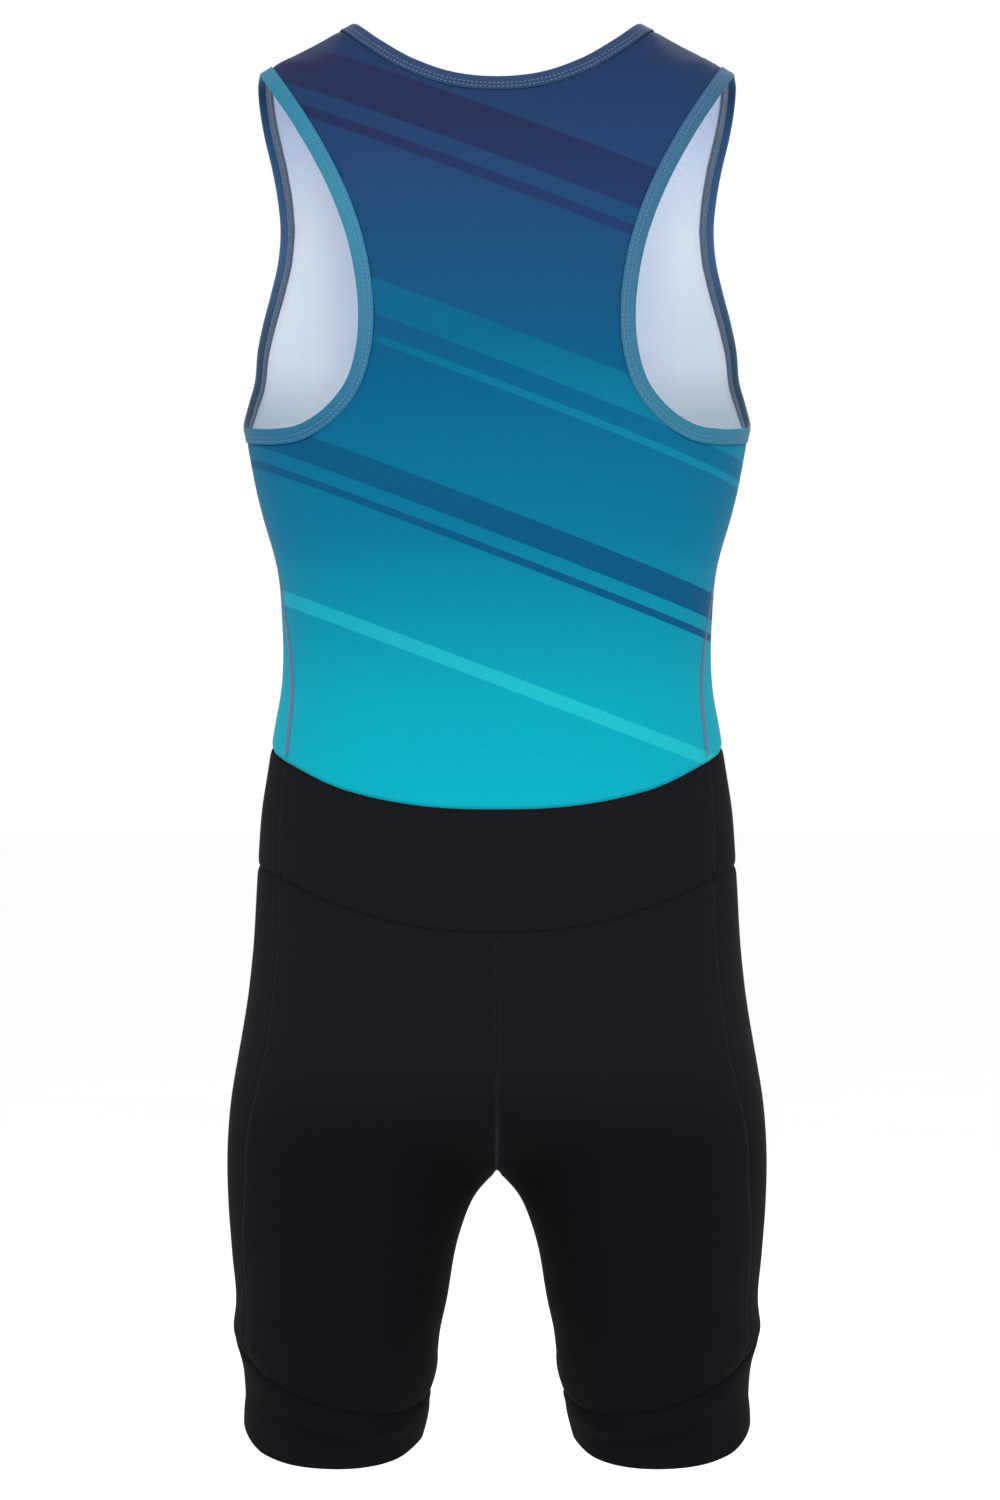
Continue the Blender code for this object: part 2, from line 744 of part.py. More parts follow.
def build_piece(name, cloth, colour, wall=WALL, proud=0.0):
    """Build one named piece from a sheet's points, in millimetres, and its faces."""
    points, faces = cloth
    points, faces = thickened(points, faces, wall, proud)
    mesh = bpy.data.meshes.new(name)
    mesh.from_pydata((points * MM).tolist(), [], [tuple(map(int, face)) for face in faces])
    mesh.materials.append(cloth_material(name, colour))
    mesh.shade_smooth()
    piece = bpy.data.objects.new(name, mesh)
    bpy.context.scene.collection.objects.link(piece)


def turned(cloth):
    """The same cloth with its faces turned over."""
    points, faces = cloth
    return points, [face[::-1] for face in faces]


def build_pair(stem, cloth, colour, **sizes):
    """Build a right-hand piece and its mirror image on the left."""
    build_piece(stem + "_right", cloth, colour, **sizes)
    points, faces = turned(cloth)
    build_piece(stem + "_left", (points * np.array([-1.0, 1.0, 1.0]), faces), colour, **sizes)


def edge_strip(edge, width):
    """Cloth in a strip along a closed edge."""
    index = np.arange(2 * len(edge)).reshape(2, -1)
    return np.concatenate([edge, beside(edge, width)]), net_faces(index, closed=True)


def upper_panels():
    build_piece("back_panel", back_panel_cloth(), PRINT_BLUE)
    build_piece("front_panel", turned(front_panel_cloth()), INSIDE_BLUE)


def waist_yoke():
    build_piece("waist_back", net_cloth(waist_net(BACK)), BLACK)
    build_piece("waist_front", turned(net_cloth(over_front(waist_net(FRONT)))), BLACK)


def shorts():
    build_pair("shorts_back", leg_cloth(BACK), BLACK)
    build_pair("shorts_front", turned(leg_cloth(FRONT)), BLACK)


def cuffs():
    build_pair("cuff", net_cloth(cuff_net(), closed=True), BLACK)


def bindings():
    """Folded bindings, a strip between each open edge and the panels."""
    sizes = {"wall": BINDING_WALL, "proud": BINDING_PROUD}
    build_pair("armhole_binding", turned(edge_strip(armhole_edge(), BINDING_WIDTH)), TEAL, **sizes)
    build_piece("neck_binding", turned(edge_strip(neck_edge(), BINDING_WIDTH)), NAVY, **sizes)


def main():
    for leftover in list(bpy.data.objects):
        bpy.data.objects.remove(leftover)
    upper_panels()
    waist_yoke()
    shorts()
    cuffs()
    bindings()


main()
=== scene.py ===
"""Rowing suit: the finish of a sleeveless one-piece in its worn, hollow form.

Each knitted piece is a thin shell on its solid's outer face: a sheet of quads, laid out flat
for its UV map, subdivided, creased and given a wall. The bindings are tape folded over
the open edges, and the threads of the seams are meshes of their own. Tables hold millimetres,
and the frame and the meshes are in metres. -Y is the back, and +Z is up from the shoulders.
"""

import json
import math
from itertools import groupby, product
from types import SimpleNamespace

import bmesh
import bpy
import numpy as np
from bpy.props import FloatProperty, FloatVectorProperty, PointerProperty
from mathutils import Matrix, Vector
from mathutils.bvhtree import BVHTree
from mathutils.kdtree import KDTree

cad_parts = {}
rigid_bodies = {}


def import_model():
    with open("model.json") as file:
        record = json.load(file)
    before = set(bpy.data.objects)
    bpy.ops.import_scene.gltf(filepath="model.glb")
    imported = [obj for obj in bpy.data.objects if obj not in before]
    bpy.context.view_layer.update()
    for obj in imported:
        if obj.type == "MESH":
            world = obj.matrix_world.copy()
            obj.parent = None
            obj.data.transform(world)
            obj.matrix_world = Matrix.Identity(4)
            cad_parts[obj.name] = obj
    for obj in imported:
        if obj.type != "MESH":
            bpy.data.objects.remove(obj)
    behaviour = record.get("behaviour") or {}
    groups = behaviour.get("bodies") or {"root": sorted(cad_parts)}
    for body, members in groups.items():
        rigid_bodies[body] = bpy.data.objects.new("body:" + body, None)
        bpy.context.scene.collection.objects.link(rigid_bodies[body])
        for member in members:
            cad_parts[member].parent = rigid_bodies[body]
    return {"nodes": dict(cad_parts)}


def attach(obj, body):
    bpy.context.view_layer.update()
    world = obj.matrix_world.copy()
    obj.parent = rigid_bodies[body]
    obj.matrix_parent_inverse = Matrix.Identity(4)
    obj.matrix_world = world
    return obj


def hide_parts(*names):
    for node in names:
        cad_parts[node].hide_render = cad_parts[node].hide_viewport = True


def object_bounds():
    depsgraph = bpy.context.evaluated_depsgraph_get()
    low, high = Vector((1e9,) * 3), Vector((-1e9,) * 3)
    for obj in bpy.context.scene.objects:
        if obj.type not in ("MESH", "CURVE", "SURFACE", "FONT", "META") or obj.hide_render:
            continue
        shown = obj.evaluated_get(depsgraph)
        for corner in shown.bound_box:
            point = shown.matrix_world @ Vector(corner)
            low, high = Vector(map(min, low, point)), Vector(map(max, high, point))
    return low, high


bl_info = {
    "name": "Rowing Suit",
    "version": (1, 0, 0),
    "blender": (4, 5, 0),
    "location": "3D View > Sidebar > Rowing Suit",
    "description": "Finishes a sleeveless one-piece rowing suit round its solids",
    "category": "Object",
}

for leftover in list(bpy.data.objects):
    bpy.data.objects.remove(leftover)
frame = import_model()
CAD_BOX = [list(corner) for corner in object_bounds()]

MM = 0.001
BODY = "root"
FLAT = "flat"
MERGE = 0.01 * MM
# Where a solid's face folds by more than this, its rim begins.
SHARP = math.radians(55)
# Points of a coarse sheet that lie closer than this are made one, as slivers would ripple.
SLIVER = 4 * MM
# Two triangles become a quad up to these turns between their planes and at its corners, and
# quads that carry on their neighbours' rows come first by this weight.
QUAD_FOLD = math.radians(70)
QUAD_CORNER = math.radians(120)
QUAD_ROWS = 1.3
SEAM_REACH = 1.5 * MM
# The solids' shoulder seams stand open by 3.3 mm in the middle; the cloth closes them too.
CLOSE_REACH = 4.5 * MM
FIT_ROUNDS = 4
SMOOTH_LEVELS = 3

# The knitted pieces: the solid, its cloth and the material slot.
PIECES = (
    ("back_panel", "printed", "printed_knit"),
    ("front_panel", "printed", "front_knit"),
    ("waist_back", "black", "black_knit"),
    ("waist_front", "black", "black_knit"),
    ("shorts_back_left", "black", "black_knit"),
    ("shorts_back_right", "black", "black_knit"),
    ("shorts_front_left", "black", "black_knit"),
    ("shorts_front_right", "black", "black_knit"),
    ("cuff_left", "black", "cuff_knit"),
    ("cuff_right", "black", "cuff_knit"),
)

# Soft creases by solid: the line that each follows across the front or back, as x and z, its
# half width, its depth, where a trough is below 0, and the side that it lies on, as Y's sign.
BACK, FRONT, BOTH = -1, 1, 0
CREASES = {
    "back_panel": (
        (((-106, -58), (-100, -90), (-98, -124)), 4, -0.3, BACK),
        (((-97, -64), (-93, -92), (-92, -116)), 4, 0.6, BACK),
        (((101, -70), (96, -104), (95, -130)), 5, -0.25, BACK),
    ),
    "front_panel": (
        (((-84, -318), (-20, -338), (40, -333)), 12, -1.3, FRONT),
        (((-30, -352), (40, -366), (92, -352)), 13, -1.2, FRONT),
        (((-98, -262), (-60, -290), (-30, -300)), 12, -0.9, FRONT),
        (((70, -120), (84, -165), (104, -196)), 9, -1.0, FRONT),
        (((-72, -112), (-86, -160), (-104, -190)), 9, -0.9, FRONT),
    ),
    "shorts_back_left": (
        (((-126, -678), (-100, -688), (-70, -691), (-36, -688)), 12, -3.6, BACK),
        (((-60, -710), (-92, -714), (-124, -704)), 11, 1.0, BACK),
        (((-46, -752), (-58, -790), (-60, -826)), 14, -0.9, BACK),
    ),
    "shorts_back_right": (
        (((38, -690), (72, -692), (98, -689), (122, -680)), 12, -3.6, BACK),
        (((64, -714), (96, -712), (126, -702)), 11, 1.0, BACK),
        (((48, -748), (58, -786), (60, -822)), 14, -0.9, BACK),
    ),
    "shorts_front_left": (
        (((-128, -612), (-84, -650), (-34, -694)), 11, -2.2, FRONT),
        (((-118, -640), (-76, -676), (-40, -716)), 11, 1.0, FRONT),
        (((-30, -762), (-58, -770), (-92, -756)), 12, -1.2, FRONT),
        (((-36, -834), (-37, -846), (-38, -856)), 7, 1.2, BOTH),
    ),
    "shorts_front_right": (
        (((124, -606), (82, -648), (30, -690)), 11, -2.2, FRONT),
        (((116, -636), (72, -676), (36, -718)), 11, 1.0, FRONT),
        (((30, -758), (60, -768), (94, -758)), 12, -1.2, FRONT),
        (((36, -834), (37, -846), (38, -856)), 7, 1.2, BOTH),
    ),
    "cuff_left": (
        (
            ((-140, -860), (-127, -868.5), (-109, -875), (-87, -879.5), (-64, -879), (-50, -874)),
            3.6,
            2.1,
            BACK,
        ),
        (((-142, -864), (-132, -872), (-118, -878), (-102, -883), (-76, -886.5)), 4.4, -2.5, BACK),
        (((-132, -866), (-104, -878), (-72, -878)), 3.6, 0.9, FRONT),
        (((-126, -872), (-98, -883), (-66, -880)), 3.6, -1.1, FRONT),
        (((-44, -864), (-45, -878), (-47, -896)), 9, 2.2, BOTH),
        (((-157, -862), (-157, -880), (-150, -900)), 10, 2.2, BOTH),
    ),
    "cuff_right": (
        (
            ((46, -872), (72, -878.5), (94, -877.5), (115, -873), (129, -866), (147, -853)),
            3.6,
            2.1,
            BACK,
        ),
        (((62, -886), (94, -884), (117, -878), (137, -868)), 4.4, -2.5, BACK),
        (((130, -864), (102, -877), (70, -879)), 3.6, 0.9, FRONT),
        (((122, -872), (94, -883), (66, -882)), 3.6, -1.1, FRONT),
        (((44, -866), (45, -878), (47, -892)), 8, 1.0, BOTH),
        (((157, -862), (157, -880), (150, -900)), 10, 2.4, BOTH),
    ),
}
# A crease's middle has low banks of the other sign, by this share, and towards its ends it
# fades out as this power of half a wave.
CREASE_BANKS = 0.6
CREASE_FADE = 0.7

# Each sewn edge reaches just past the middle of its gap, and lies this deep in a valley, which
# is shallower under a tape.
SEAM_SHARE = 0.55
SEAM_SINK = 1.15
TAPE_SINK = 0.6
SINK_REACH = 2.1

# A hem is evened out in rounds of two steps, one that draws it in and one that lets it out
# again, and the cloth follows it within a reach.
HEM_STEPS = (0.5, -0.51)
HEM_ROUNDS = 30
HEM_REACH = 12

# The armhole and neck tapes' section, from the hidden end of the outer leg over the open edge
# to the end of the inner leg. The first number runs from the open edge towards the cloth, and
# the second out from the solid's outer face. Two rows of stitches pull the tape down, with a
# soft ridge between them.
TAPE_SECTION = (
    (10.0, -0.95),
    (10.0, -0.5),
    (9.8, -0.12),
    (9.3, 0.1),
    (8.7, 0.04),
    (8.1, -0.24),
    (7.6, -0.02),
    (7.1, 0.1),
    (6.4, 0.1),
    (5.9, -0.02),
    (5.4, -0.26),
    (4.9, -0.02),
    (4.2, 0.16),
    (3.2, 0.24),
    (2.1, 0.24),
    (1.0, 0.1),
    (0.35, -0.3),
    (0.1, -0.85),
    (0.3, -1.45),
    (0.9, -1.85),
    (2.2, -2.05),
    (4.2, -2.1),
    (6.2, -2.1),
    (8.0, -2.1),
    (9.2, -2.0),
)
TAPE_WIDTH = 9.6
TAPE_STEP = 2.0
# Steps in which each side of a binding's coarse edge is measured.
EDGE_STEPS = 40

# The tapes' stitches: their rows across the tape and how far out they lie.
STITCH_ROWS = (5.4, 8.1)
STITCH_OUT = -0.12
STITCH_LENGTH = 1.7
STITCH_PITCH = 2.6
STITCH_RADIUS = 0.16
STITCH_RISE = 0.18

# The looper threads of the two rows cross between them on a tape's inner leg. In each step a
# thread has a start and an end, both as a place across the tape and a share of the step, a
# radius and a rise.
LADDER_NEAR, LADDER_FAR = 5.0, 9.1
LADDER_OUT = -2.2
LADDER_PITCH = 1.5
LADDER_THREADS = (
    (LADDER_NEAR, 0.0, LADDER_FAR, 0.5, 0.27, 0.2),
    (LADDER_FAR, 0.5, LADDER_NEAR, 1.0, 0.23, 0.1),
    (LADDER_FAR, 0.5, LADDER_FAR, 1.4, 0.25, 0.25),
    (LADDER_NEAR, 0.0, LADDER_NEAR, 1.0, 0.22, 0.25),
)

# A length of thread: share of its run, share of its radius and share of its rise. Its section
# is a square, which is round enough at its size.
THREAD_SECTION = ((0.0, 0.5, 0.0), (0.25, 1.0, 0.8), (0.75, 1.0, 0.8), (1.0, 0.5, 0.0))
THREAD_SIDES = 4

# A flat seam's threads in each step: a start and an end, both as a side of the seam and a
# share of the step, a share of the radius and a rise. A row on either side, then the zigzag.
FLATLOCK_THREADS = (
    (-1, 0.05, -1, 0.85, 1.0, 0.14),
    (1, 0.05, 1, 0.85, 1.0, 0.14),
    (-1, 0.0, 1, 0.5, 0.9, 0.22),
    (1, 0.5, -1, 1.0, 0.9, 0.18),
)
# The flat seams: half their width, the size of a step, the thread's radius, and how far out it
# lies. A place below 0 is on the cloth's inside.
SIDE_OUTSIDE = (2.0, 1.5, 0.2, 0.2)
SIDE_INSIDE = (2.0, 1.5, 0.26, -1.1)
SHORTS_OUTSIDE = (1.6, 1.9, 0.2, 0.12)
# The threads stop short of a seam's ends, and a stretch of fewer points than this has none.
SEAM_END = 2.5
LEAST_POINTS = 4
# The back and front panels also meet at the shoulders. Their side seams lie below this height.
ARMPITS = -200
SHORTS_SEAMS = (
    ("waist_back", "waist_front"),
    ("shorts_back_left", "shorts_back_right"),
    ("shorts_front_left", "shorts_front_right"),
    ("shorts_back_left", "shorts_front_left"),
    ("shorts_back_right", "shorts_front_right"),
)

# The print's colours by height, from navy at the shoulders to cyan at the waist, and those of
# its deep and pale stripes.
OMBRE = (
    (0, "#1C2E51"),
    (-75, "#1D385E"),
    (-160, "#10466C"),
    (-212, "#025176"),
    (-315, "#026888"),
    (-417, "#0290A3"),
    (-490, "#029AAC"),
)
DEEP_BANDS = (
    (0, "#202547"),
    (-60, "#1F274B"),
    (-150, "#18375F"),
    (-260, "#024C6E"),
    (-420, "#024A72"),
)
PALE_BANDS = ((-100, "#174D75"), (-190, "#025879"), (-300, "#097D99"), (-420, "#1AA6B1"))

# Painted shade makes the black darker on the thighs than above: two heights, and the share of its light
# left.
THIGH_PAINTED_SHADE = (-625, -702, 0.6)

# Straight stripes that fall to the right: height at the centre line, width and tone.
STRIPE_FALL = 0.38
STRIPES = (
    (-64, 30, "deep"),
    (-94, 7, "deep"),
    (-196, 22, "pale"),
    (-222, 5, "pale"),
    (-306, 17, "deep"),
    (-326, 5, "deep"),
    (-404, 9, "pale"),
)
STRIPE_SOFT = 0.35

# The armhole tapes are cut from the print too, so their colours change round the armhole.
TAPE_BACKS = {
    "armhole_binding_left": (
        (-30, "#26728E"),
        (-110, "#32768F"),
        (-180, "#336C8B"),
        (-250, "#23607F"),
    ),
    "armhole_binding_right": (
        (-30, "#345B78"),
        (-110, "#32617F"),
        (-180, "#346582"),
        (-250, "#2D6D87"),
    ),
}
# The front half's colours by height, from the print, with painted shade in the darker grey at its armpit
# end.
TAPE_FRONT_PRINT_AND_SHADE = ((-26, "#1F3A57"), (-45, "#2A4D72"), (-124, "#426184"), (-190, "#3C5367"))
# Their back and front halves meet over this stretch of Y.
TAPE_MEETS = (-22, 22)

# The inside is unprinted and white, with painted shade that makes it bluer and darker deeper in
# and at the shoulders. Its colours by height at the armholes and deeper in, and the distances
# from the middle for both.
INSIDE_EDGE_PAINTED_SHADE = ((-40, "#C3CFE9"), (-120, "#EBF1F9"), (-195, "#F6FAFF"), (-231, "#D9E3EA"))
INSIDE_DEEP_PAINTED_SHADE = ((-40, "#B2C3DA"), (-116, "#CAD7EB"), (-200, "#DBE7FB"), (-231, "#CDDDED"))
INSIDE_PAINTED_SHADE_ACROSS = (89, 121)

# How each knit meets the light: how far its colour varies, how strongly its loops show, its
# roughness, its sheen and its specular level. The tapes are pulled smooth, so they shine more.
FINISHES = {
    "printed": (0.05, 0.5, 0.7, 0.02, 0.05),
    "inside": (0.03, 0.5, 0.8, 0.02, 0.05),
    "black": (0.08, 0.5, 0.9, 0.0, 0.05),
    "neck tape": (0.06, 0.5, 0.65, 0.03, 0.08),
    "armhole tape": (0.06, 0.6, 0.65, 0.03, 0.08),
}
THREAD_FINISH = (0.6, 0.0, 0.06)
SHEEN_ROUGHNESS = 0.45
# A patch of slightly other colour is this many wales wide.
MOTTLE_WALES = 2.5
LOOP_DEPTH = 0.2
# At a scale of 1, Blender's Wave texture has a band every pi / 10.
WAVE_BAND = math.pi / 10
# A thread's flecks: their size, the shares of its colour that they reach, and their relief.
FLECK_SIZE = 0.6
FLECK_SHARES = (0.75, 1.25)
FLECK_STRENGTH = 0.4
FLECK_DEPTH = 0.05

# The floor's side in metres, the patches in each metre of it, and the light that they return.
FLOOR_SIDE = 80
FLOOR_PATCHES = 3.0
FLOOR_SHARES = (0.965, 0.99)
FLOOR_ROUGHNESS = 0.9
# The lamps: place and side in metres, and the share of the main lamp's power.
LAMPS = {
    "key": ((-1.2, -3.4, 2.4), 2.2, 1.0),
    "fill": ((1.6, -4.4, 0.2), 3.0, 0.8),
    "back": ((0.8, 3.4, 1.8), 2.5, 0.8),
}


def linear(code):
    """An sRGB hex colour as linear RGBA."""
    shares = [int(code[start : start + 2], 16) / 255 for start in (1, 3, 5)]
    return tuple(s / 12.92 if s <= 0.04045 else ((s + 0.055) / 1.055) ** 2.4 for s in shares) + (1.0,)


def colour(name, description, code):
    return FloatVectorProperty(
        name=name, description=description, default=linear(code), subtype="COLOR", size=4, min=0, max=1
    )


def length(name, description, size):
    return FloatProperty(name=name, description=description, default=size * MM, subtype="DISTANCE")


class SuitColours(bpy.types.PropertyGroup):
    """Colours of the cloth and the threads; the print and its inside keep their own tables."""

    black: colour("Black knit", "Waist, shorts and leg bands", "#121317")
    neck: colour("Neck tape", "Folded tape round the neck", "#2A3D5E")
    tape_thread: colour("Tape thread", "Rows of stitches on the tapes", "#8699B9")
    side_thread: colour("Side thread", "Flatlock of the side seams", "#7F86A2")
    edge_thread: colour("Looper thread", "Ladder inside the neck and armholes", "#8A96A8")
    dark_thread: colour("Dark thread", "Flatlock of the shorts", "#26272E")


class SuitSizes(bpy.types.PropertyGroup):
    """Sizes of the cloth's walls and of the knit."""

    wall: length("Knit wall", "Thickness of the knitted cloth", 0.9)
    tape_wall: length("Tape wall", "Thickness of the folded tape", 0.55)
    wale: length("Wale", "Width of a column of loops, drawn coarse enough to show", 1.5)
    course: length("Course", "Height of a row of loops, drawn coarse enough to show", 1.2)


class SuitStudio(bpy.types.PropertyGroup):
    """The floor, the lights and the camera."""

    distance: length("Camera distance", "From the camera to the shoulders' plane", 3200)
    eye: length("Camera height", "Height of the camera against the shoulders", -449)
    aside: length("Camera offset", "How far the camera stands to the right", 1.9)
    view: length("View height", "Height that the picture takes in at the shoulders' plane", 960)
    drop: length("Floor drop", "From the hem down to the floor", 260)
    sky: FloatProperty(name="Sky", description="Strength of the even white light", default=1.0)
    key: FloatProperty(name="Key", description="Power of the main soft light", default=53, unit="POWER")


# Meshes


def only(piece):
    """Select one piece alone and make it the active one."""
    bpy.ops.object.select_all(action="DESELECT")
    piece.select_set(True)
    bpy.context.view_layer.objects.active = piece


def apply_modifier(piece, modifier):
    only(piece)
    bpy.ops.object.modifier_apply(modifier=modifier.name)


def vectors(items, name, size=3):
    """A vector that all of a mesh's points or corners have, as rows of numbers."""
    found = np.empty(len(items) * size, dtype=np.float32)
    items.foreach_get(name, found)
    return found.reshape(-1, size).astype(float)


def places(mesh):
    return vectors(mesh.vertices, "co")


def facings(mesh):
    return vectors(mesh.vertex_normals, "vector")


def set_places(mesh, points):
    mesh.vertices.foreach_set("co", np.asarray(points, dtype=np.float32).ravel())
    mesh.update()


def unit(rows):
    return rows / np.linalg.norm(rows, axis=-1, keepdims=True)


def travel(line):
    """The way along a line to each of its points."""
    return np.concatenate([[0], np.cumsum(np.linalg.norm(np.diff(line, axis=0), axis=1))])


def even_steps(total, pitch):
    """The starts of even steps of about a pitch over a total length, and the size of a step."""
    count = max(1, round(total / (pitch * MM)))
    step = total / count
    return np.arange(count) * step, step


def form_tree(meshes):
    """A search tree over the faces of meshes."""
    points, faces, count = [], [], 0
    for mesh in meshes:
        points.append(places(mesh))
        faces += [[number + count for number in polygon.vertices] for polygon in mesh.polygons]
        count += len(mesh.vertices)
    return BVHTree.FromPolygons(np.concatenate(points).tolist(), faces)


def solids_tree(nodes):
    return form_tree([frame["nodes"][node].data for node in nodes])


def gap_to(tree, point):
    """The distance from a point to the nearest face of a search tree."""
    return tree.find_nearest(Vector(point))[3]


def nearest_of(points, others):
    """For each point, the number of the nearest of the others and the gap to it."""
    tree = KDTree(len(others))
    for index, other in enumerate(others):
        tree.insert(other, index)
    tree.balance()
    found = [tree.find(point) for point in points]
    return np.array([index for _, index, _ in found]), np.array([gap for _, _, gap in found])


def new_piece(name, mesh):
    mesh.shade_smooth()
    piece = bpy.data.objects.new(name, mesh)
    bpy.context.scene.collection.objects.link(piece)
    return piece


def mesh_piece(name, points, faces):
    mesh = bpy.data.meshes.new(name)
    mesh.from_pydata(np.asarray(points).tolist(), [], np.asarray(faces).tolist())
    return new_piece(name, mesh)


def give_wall(piece, thickness):
    """Turn a sheet into a shell: the sheet is its outer face, and its last material lies inside."""
    wall = piece.modifiers.new("Wall", "SOLIDIFY")
    wall.thickness = thickness
    wall.offset = -1
    wall.material_offset = len(piece.data.materials) - 1
    apply_modifier(piece, wall)


def finish_piece(piece, replaced=()):
    """Tie a finished piece to the frame."""
    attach(piece, BODY)
    if replaced:
        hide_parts(*replaced)


# Cloth


def islands(work):
    """The groups of faces of a bmesh that run on smoothly, without a sharp fold between them."""
    left, groups = set(work.faces), []
    while left:
        front = [left.pop()]
        group = set(front)
        while front:
            smooth = [edge for edge in front.pop().edges if edge.calc_face_angle(0) < SHARP]
            near = {other for edge in smooth for other in edge.link_faces} & left
            left -= near
            group |= near
            front.extend(near)
        groups.append(group)
    return groups


def outer_sheet(node, name):
    """A sheet of quads on a solid's outer face, without its rims and its inner face."""
    work = bmesh.new()
    work.from_mesh(frame["nodes"][node].data)
    bmesh.ops.remove_doubles(work, verts=work.verts, dist=MERGE)
    middle = sum((vertex.co for vertex in work.verts), Vector()) / len(work.verts)

    def outwardness(group):
        ways = [(face, face.calc_center_median() - middle) for face in group]
        return sum(face.calc_area() * face.normal.dot(way) for face, way in ways)

    outer = max(islands(work), key=outwardness)
    bmesh.ops.delete(work, geom=[face for face in work.faces if face not in outer], context="FACES")
    bmesh.ops.delete(work, geom=[vert for vert in work.verts if not vert.link_faces], context="VERTS")
    rim = [vertex for vertex in work.verts if vertex.is_boundary]
    doubles = bmesh.ops.find_doubles(work, verts=work.verts, keep_verts=rim, dist=SLIVER)
    bmesh.ops.weld_verts(work, targetmap=doubles["targetmap"])
    bmesh.ops.remove_doubles(work, verts=work.verts, dist=SLIVER)
    bmesh.ops.join_triangles(
        work,
        faces=work.faces,
        angle_face_threshold=QUAD_FOLD,
        angle_shape_threshold=QUAD_CORNER,
        topology_influence=QUAD_ROWS,
    )
    mesh = bpy.data.meshes.new(name)
    work.to_mesh(mesh)
    work.free()
    return new_piece(name, mesh)


def rim_loops(piece):
    """A sheet's open edges as closed runs of point numbers, the cloth on the left of each."""
    work = bmesh.new()
    work.from_mesh(piece.data)
    following = {}
    for edge in work.edges:
        if edge.is_boundary:
            corner = edge.link_loops[0]
            following[corner.vert.index] = corner.link_loop_next.vert.index
    work.free()
    loops = []
    while following:
        start, after = following.popitem()
        loop = [start]
        while after != start:
            loop.append(after)
            after = following.pop(after)
        loops.append(loop)
    return loops


def mark_inside_leg(piece):
    """Mark where a leg band's tube is cut open to lie flat."""
    points = places(piece.data)
    aside, out = np.abs(points[:, 0]), np.abs(points[:, 1])
    inside_leg = (out < SEAM_REACH) & (aside < aside.mean())
    for edge in piece.data.edges:
        edge.use_seam = all(inside_leg[list(edge.vertices)])


def flat_area(mesh, flat):
    """The area that a mesh's faces cover in a flat layout."""
    mesh.calc_loop_triangles()
    triangles = np.array([triangle.loops[:] for triangle in mesh.loop_triangles])
    first, second, third = (flat[triangles[:, corner]] for corner in range(3))
    one, two = second - first, third - first
    return np.abs(one[:, 0] * two[:, 1] - one[:, 1] * two[:, 0]).sum() / 2


def upright(flat, heights):
    """Turn a flat layout to rise as its cloth does, with its middle at U = 0 and V as the height."""
    table = np.column_stack([flat, np.ones(len(flat))])
    slope = np.linalg.lstsq(table, heights, rcond=None)[0][:2]
    up = slope / np.linalg.norm(slope)
    flat = np.column_stack([flat @ (up[1], -up[0]), flat @ up])
    flat[:, 0] -= flat[:, 0].mean()
    flat[:, 1] += (heights - flat[:, 1]).mean()
    return flat


def lay_flat(piece):
    """Unroll a sheet into its UV map, in metres and upright. Gives the flat size and the area."""
    mesh = piece.data
    if len(rim_loops(piece)) > 1:
        mark_inside_leg(piece)
    mesh.uv_layers.new(name=FLAT)
    only(piece)
    bpy.ops.object.mode_set(mode="EDIT")
    bpy.ops.mesh.select_all(action="SELECT")
    bpy.ops.uv.unwrap(method="MINIMUM_STRETCH", margin=0)
    bpy.ops.object.mode_set(mode="OBJECT")
    layer = mesh.uv_layers[FLAT]
    flat = vectors(layer.uv, "vector", 2)
    area = sum(polygon.area for polygon in mesh.polygons)
    flat *= math.sqrt(area / flat_area(mesh, flat))
    corners = np.array([loop.vertex_index for loop in mesh.loops])
    flat = upright(flat, places(mesh)[corners, 2])
    layer.uv.foreach_set("vector", flat.astype(np.float32).ravel())
    return tuple(float(size) for size in np.ptp(flat, axis=0)), area


def smooth_through(piece):
    """Subdivide a sheet so that the smooth surface still passes through the solid's points."""
    goal = places(piece.data)
    smooth = piece.modifiers.new("Smooth", "SUBSURF")
    smooth.levels = smooth.render_levels = SMOOTH_LEVELS
    smooth.boundary_smooth = "PRESERVE_CORNERS"
    for _ in range(FIT_ROUNDS):
        depsgraph = bpy.context.evaluated_depsgraph_get()
        reached = places(piece.evaluated_get(depsgraph).data)[: len(goal)]
        set_places(piece.data, places(piece.data) + goal - reached)
    apply_modifier(piece, smooth)


def round_hem(piece, neighbours):
    """Even out a sheet's open hem, and carry the cloth above it along."""
    points = places(piece.data)
    for loop in rim_loops(piece):
        if min(gap_to(neighbours, points[number]) for number in loop) < SEAM_REACH:
            continue
        ring = points[loop]
        even = ring.copy()
        for weight in HEM_STEPS * HEM_ROUNDS:
            even += weight * ((np.roll(even, 1, axis=0) + np.roll(even, -1, axis=0)) / 2 - even)
        nearest, gaps = nearest_of(points, ring)
        points += (even - ring)[nearest] * np.exp(-((gaps / (HEM_REACH * MM)) ** 2))[:, None]
    set_places(piece.data, points)


def close_seams(piece, neighbours, cloth):
    """Carry a sheet's sewn edges across the gaps between the solids, and draw them into a valley."""
    points, facing = places(piece.data), facings(piece.data)
    closed = points.copy()
    sewn, sinks = [], []
    for number in (number for loop in rim_loops(piece) for number in loop):
        place, _, _, gap = neighbours.find_nearest(Vector(points[number]))
        if gap < CLOSE_REACH:
            closed[number] += SEAM_SHARE * (np.array(place) - points[number])
            taped = gap_to(cloth, points[number]) > CLOSE_REACH
            sewn.append(number)
            sinks.append(TAPE_SINK if taped else SEAM_SINK)
    nearest, gaps = nearest_of(points, points[sewn])
    depth = np.array(sinks)[nearest] * MM * np.exp(-((gaps / (SINK_REACH * MM)) ** 2))
    set_places(piece.data, closed - facing * depth[:, None])


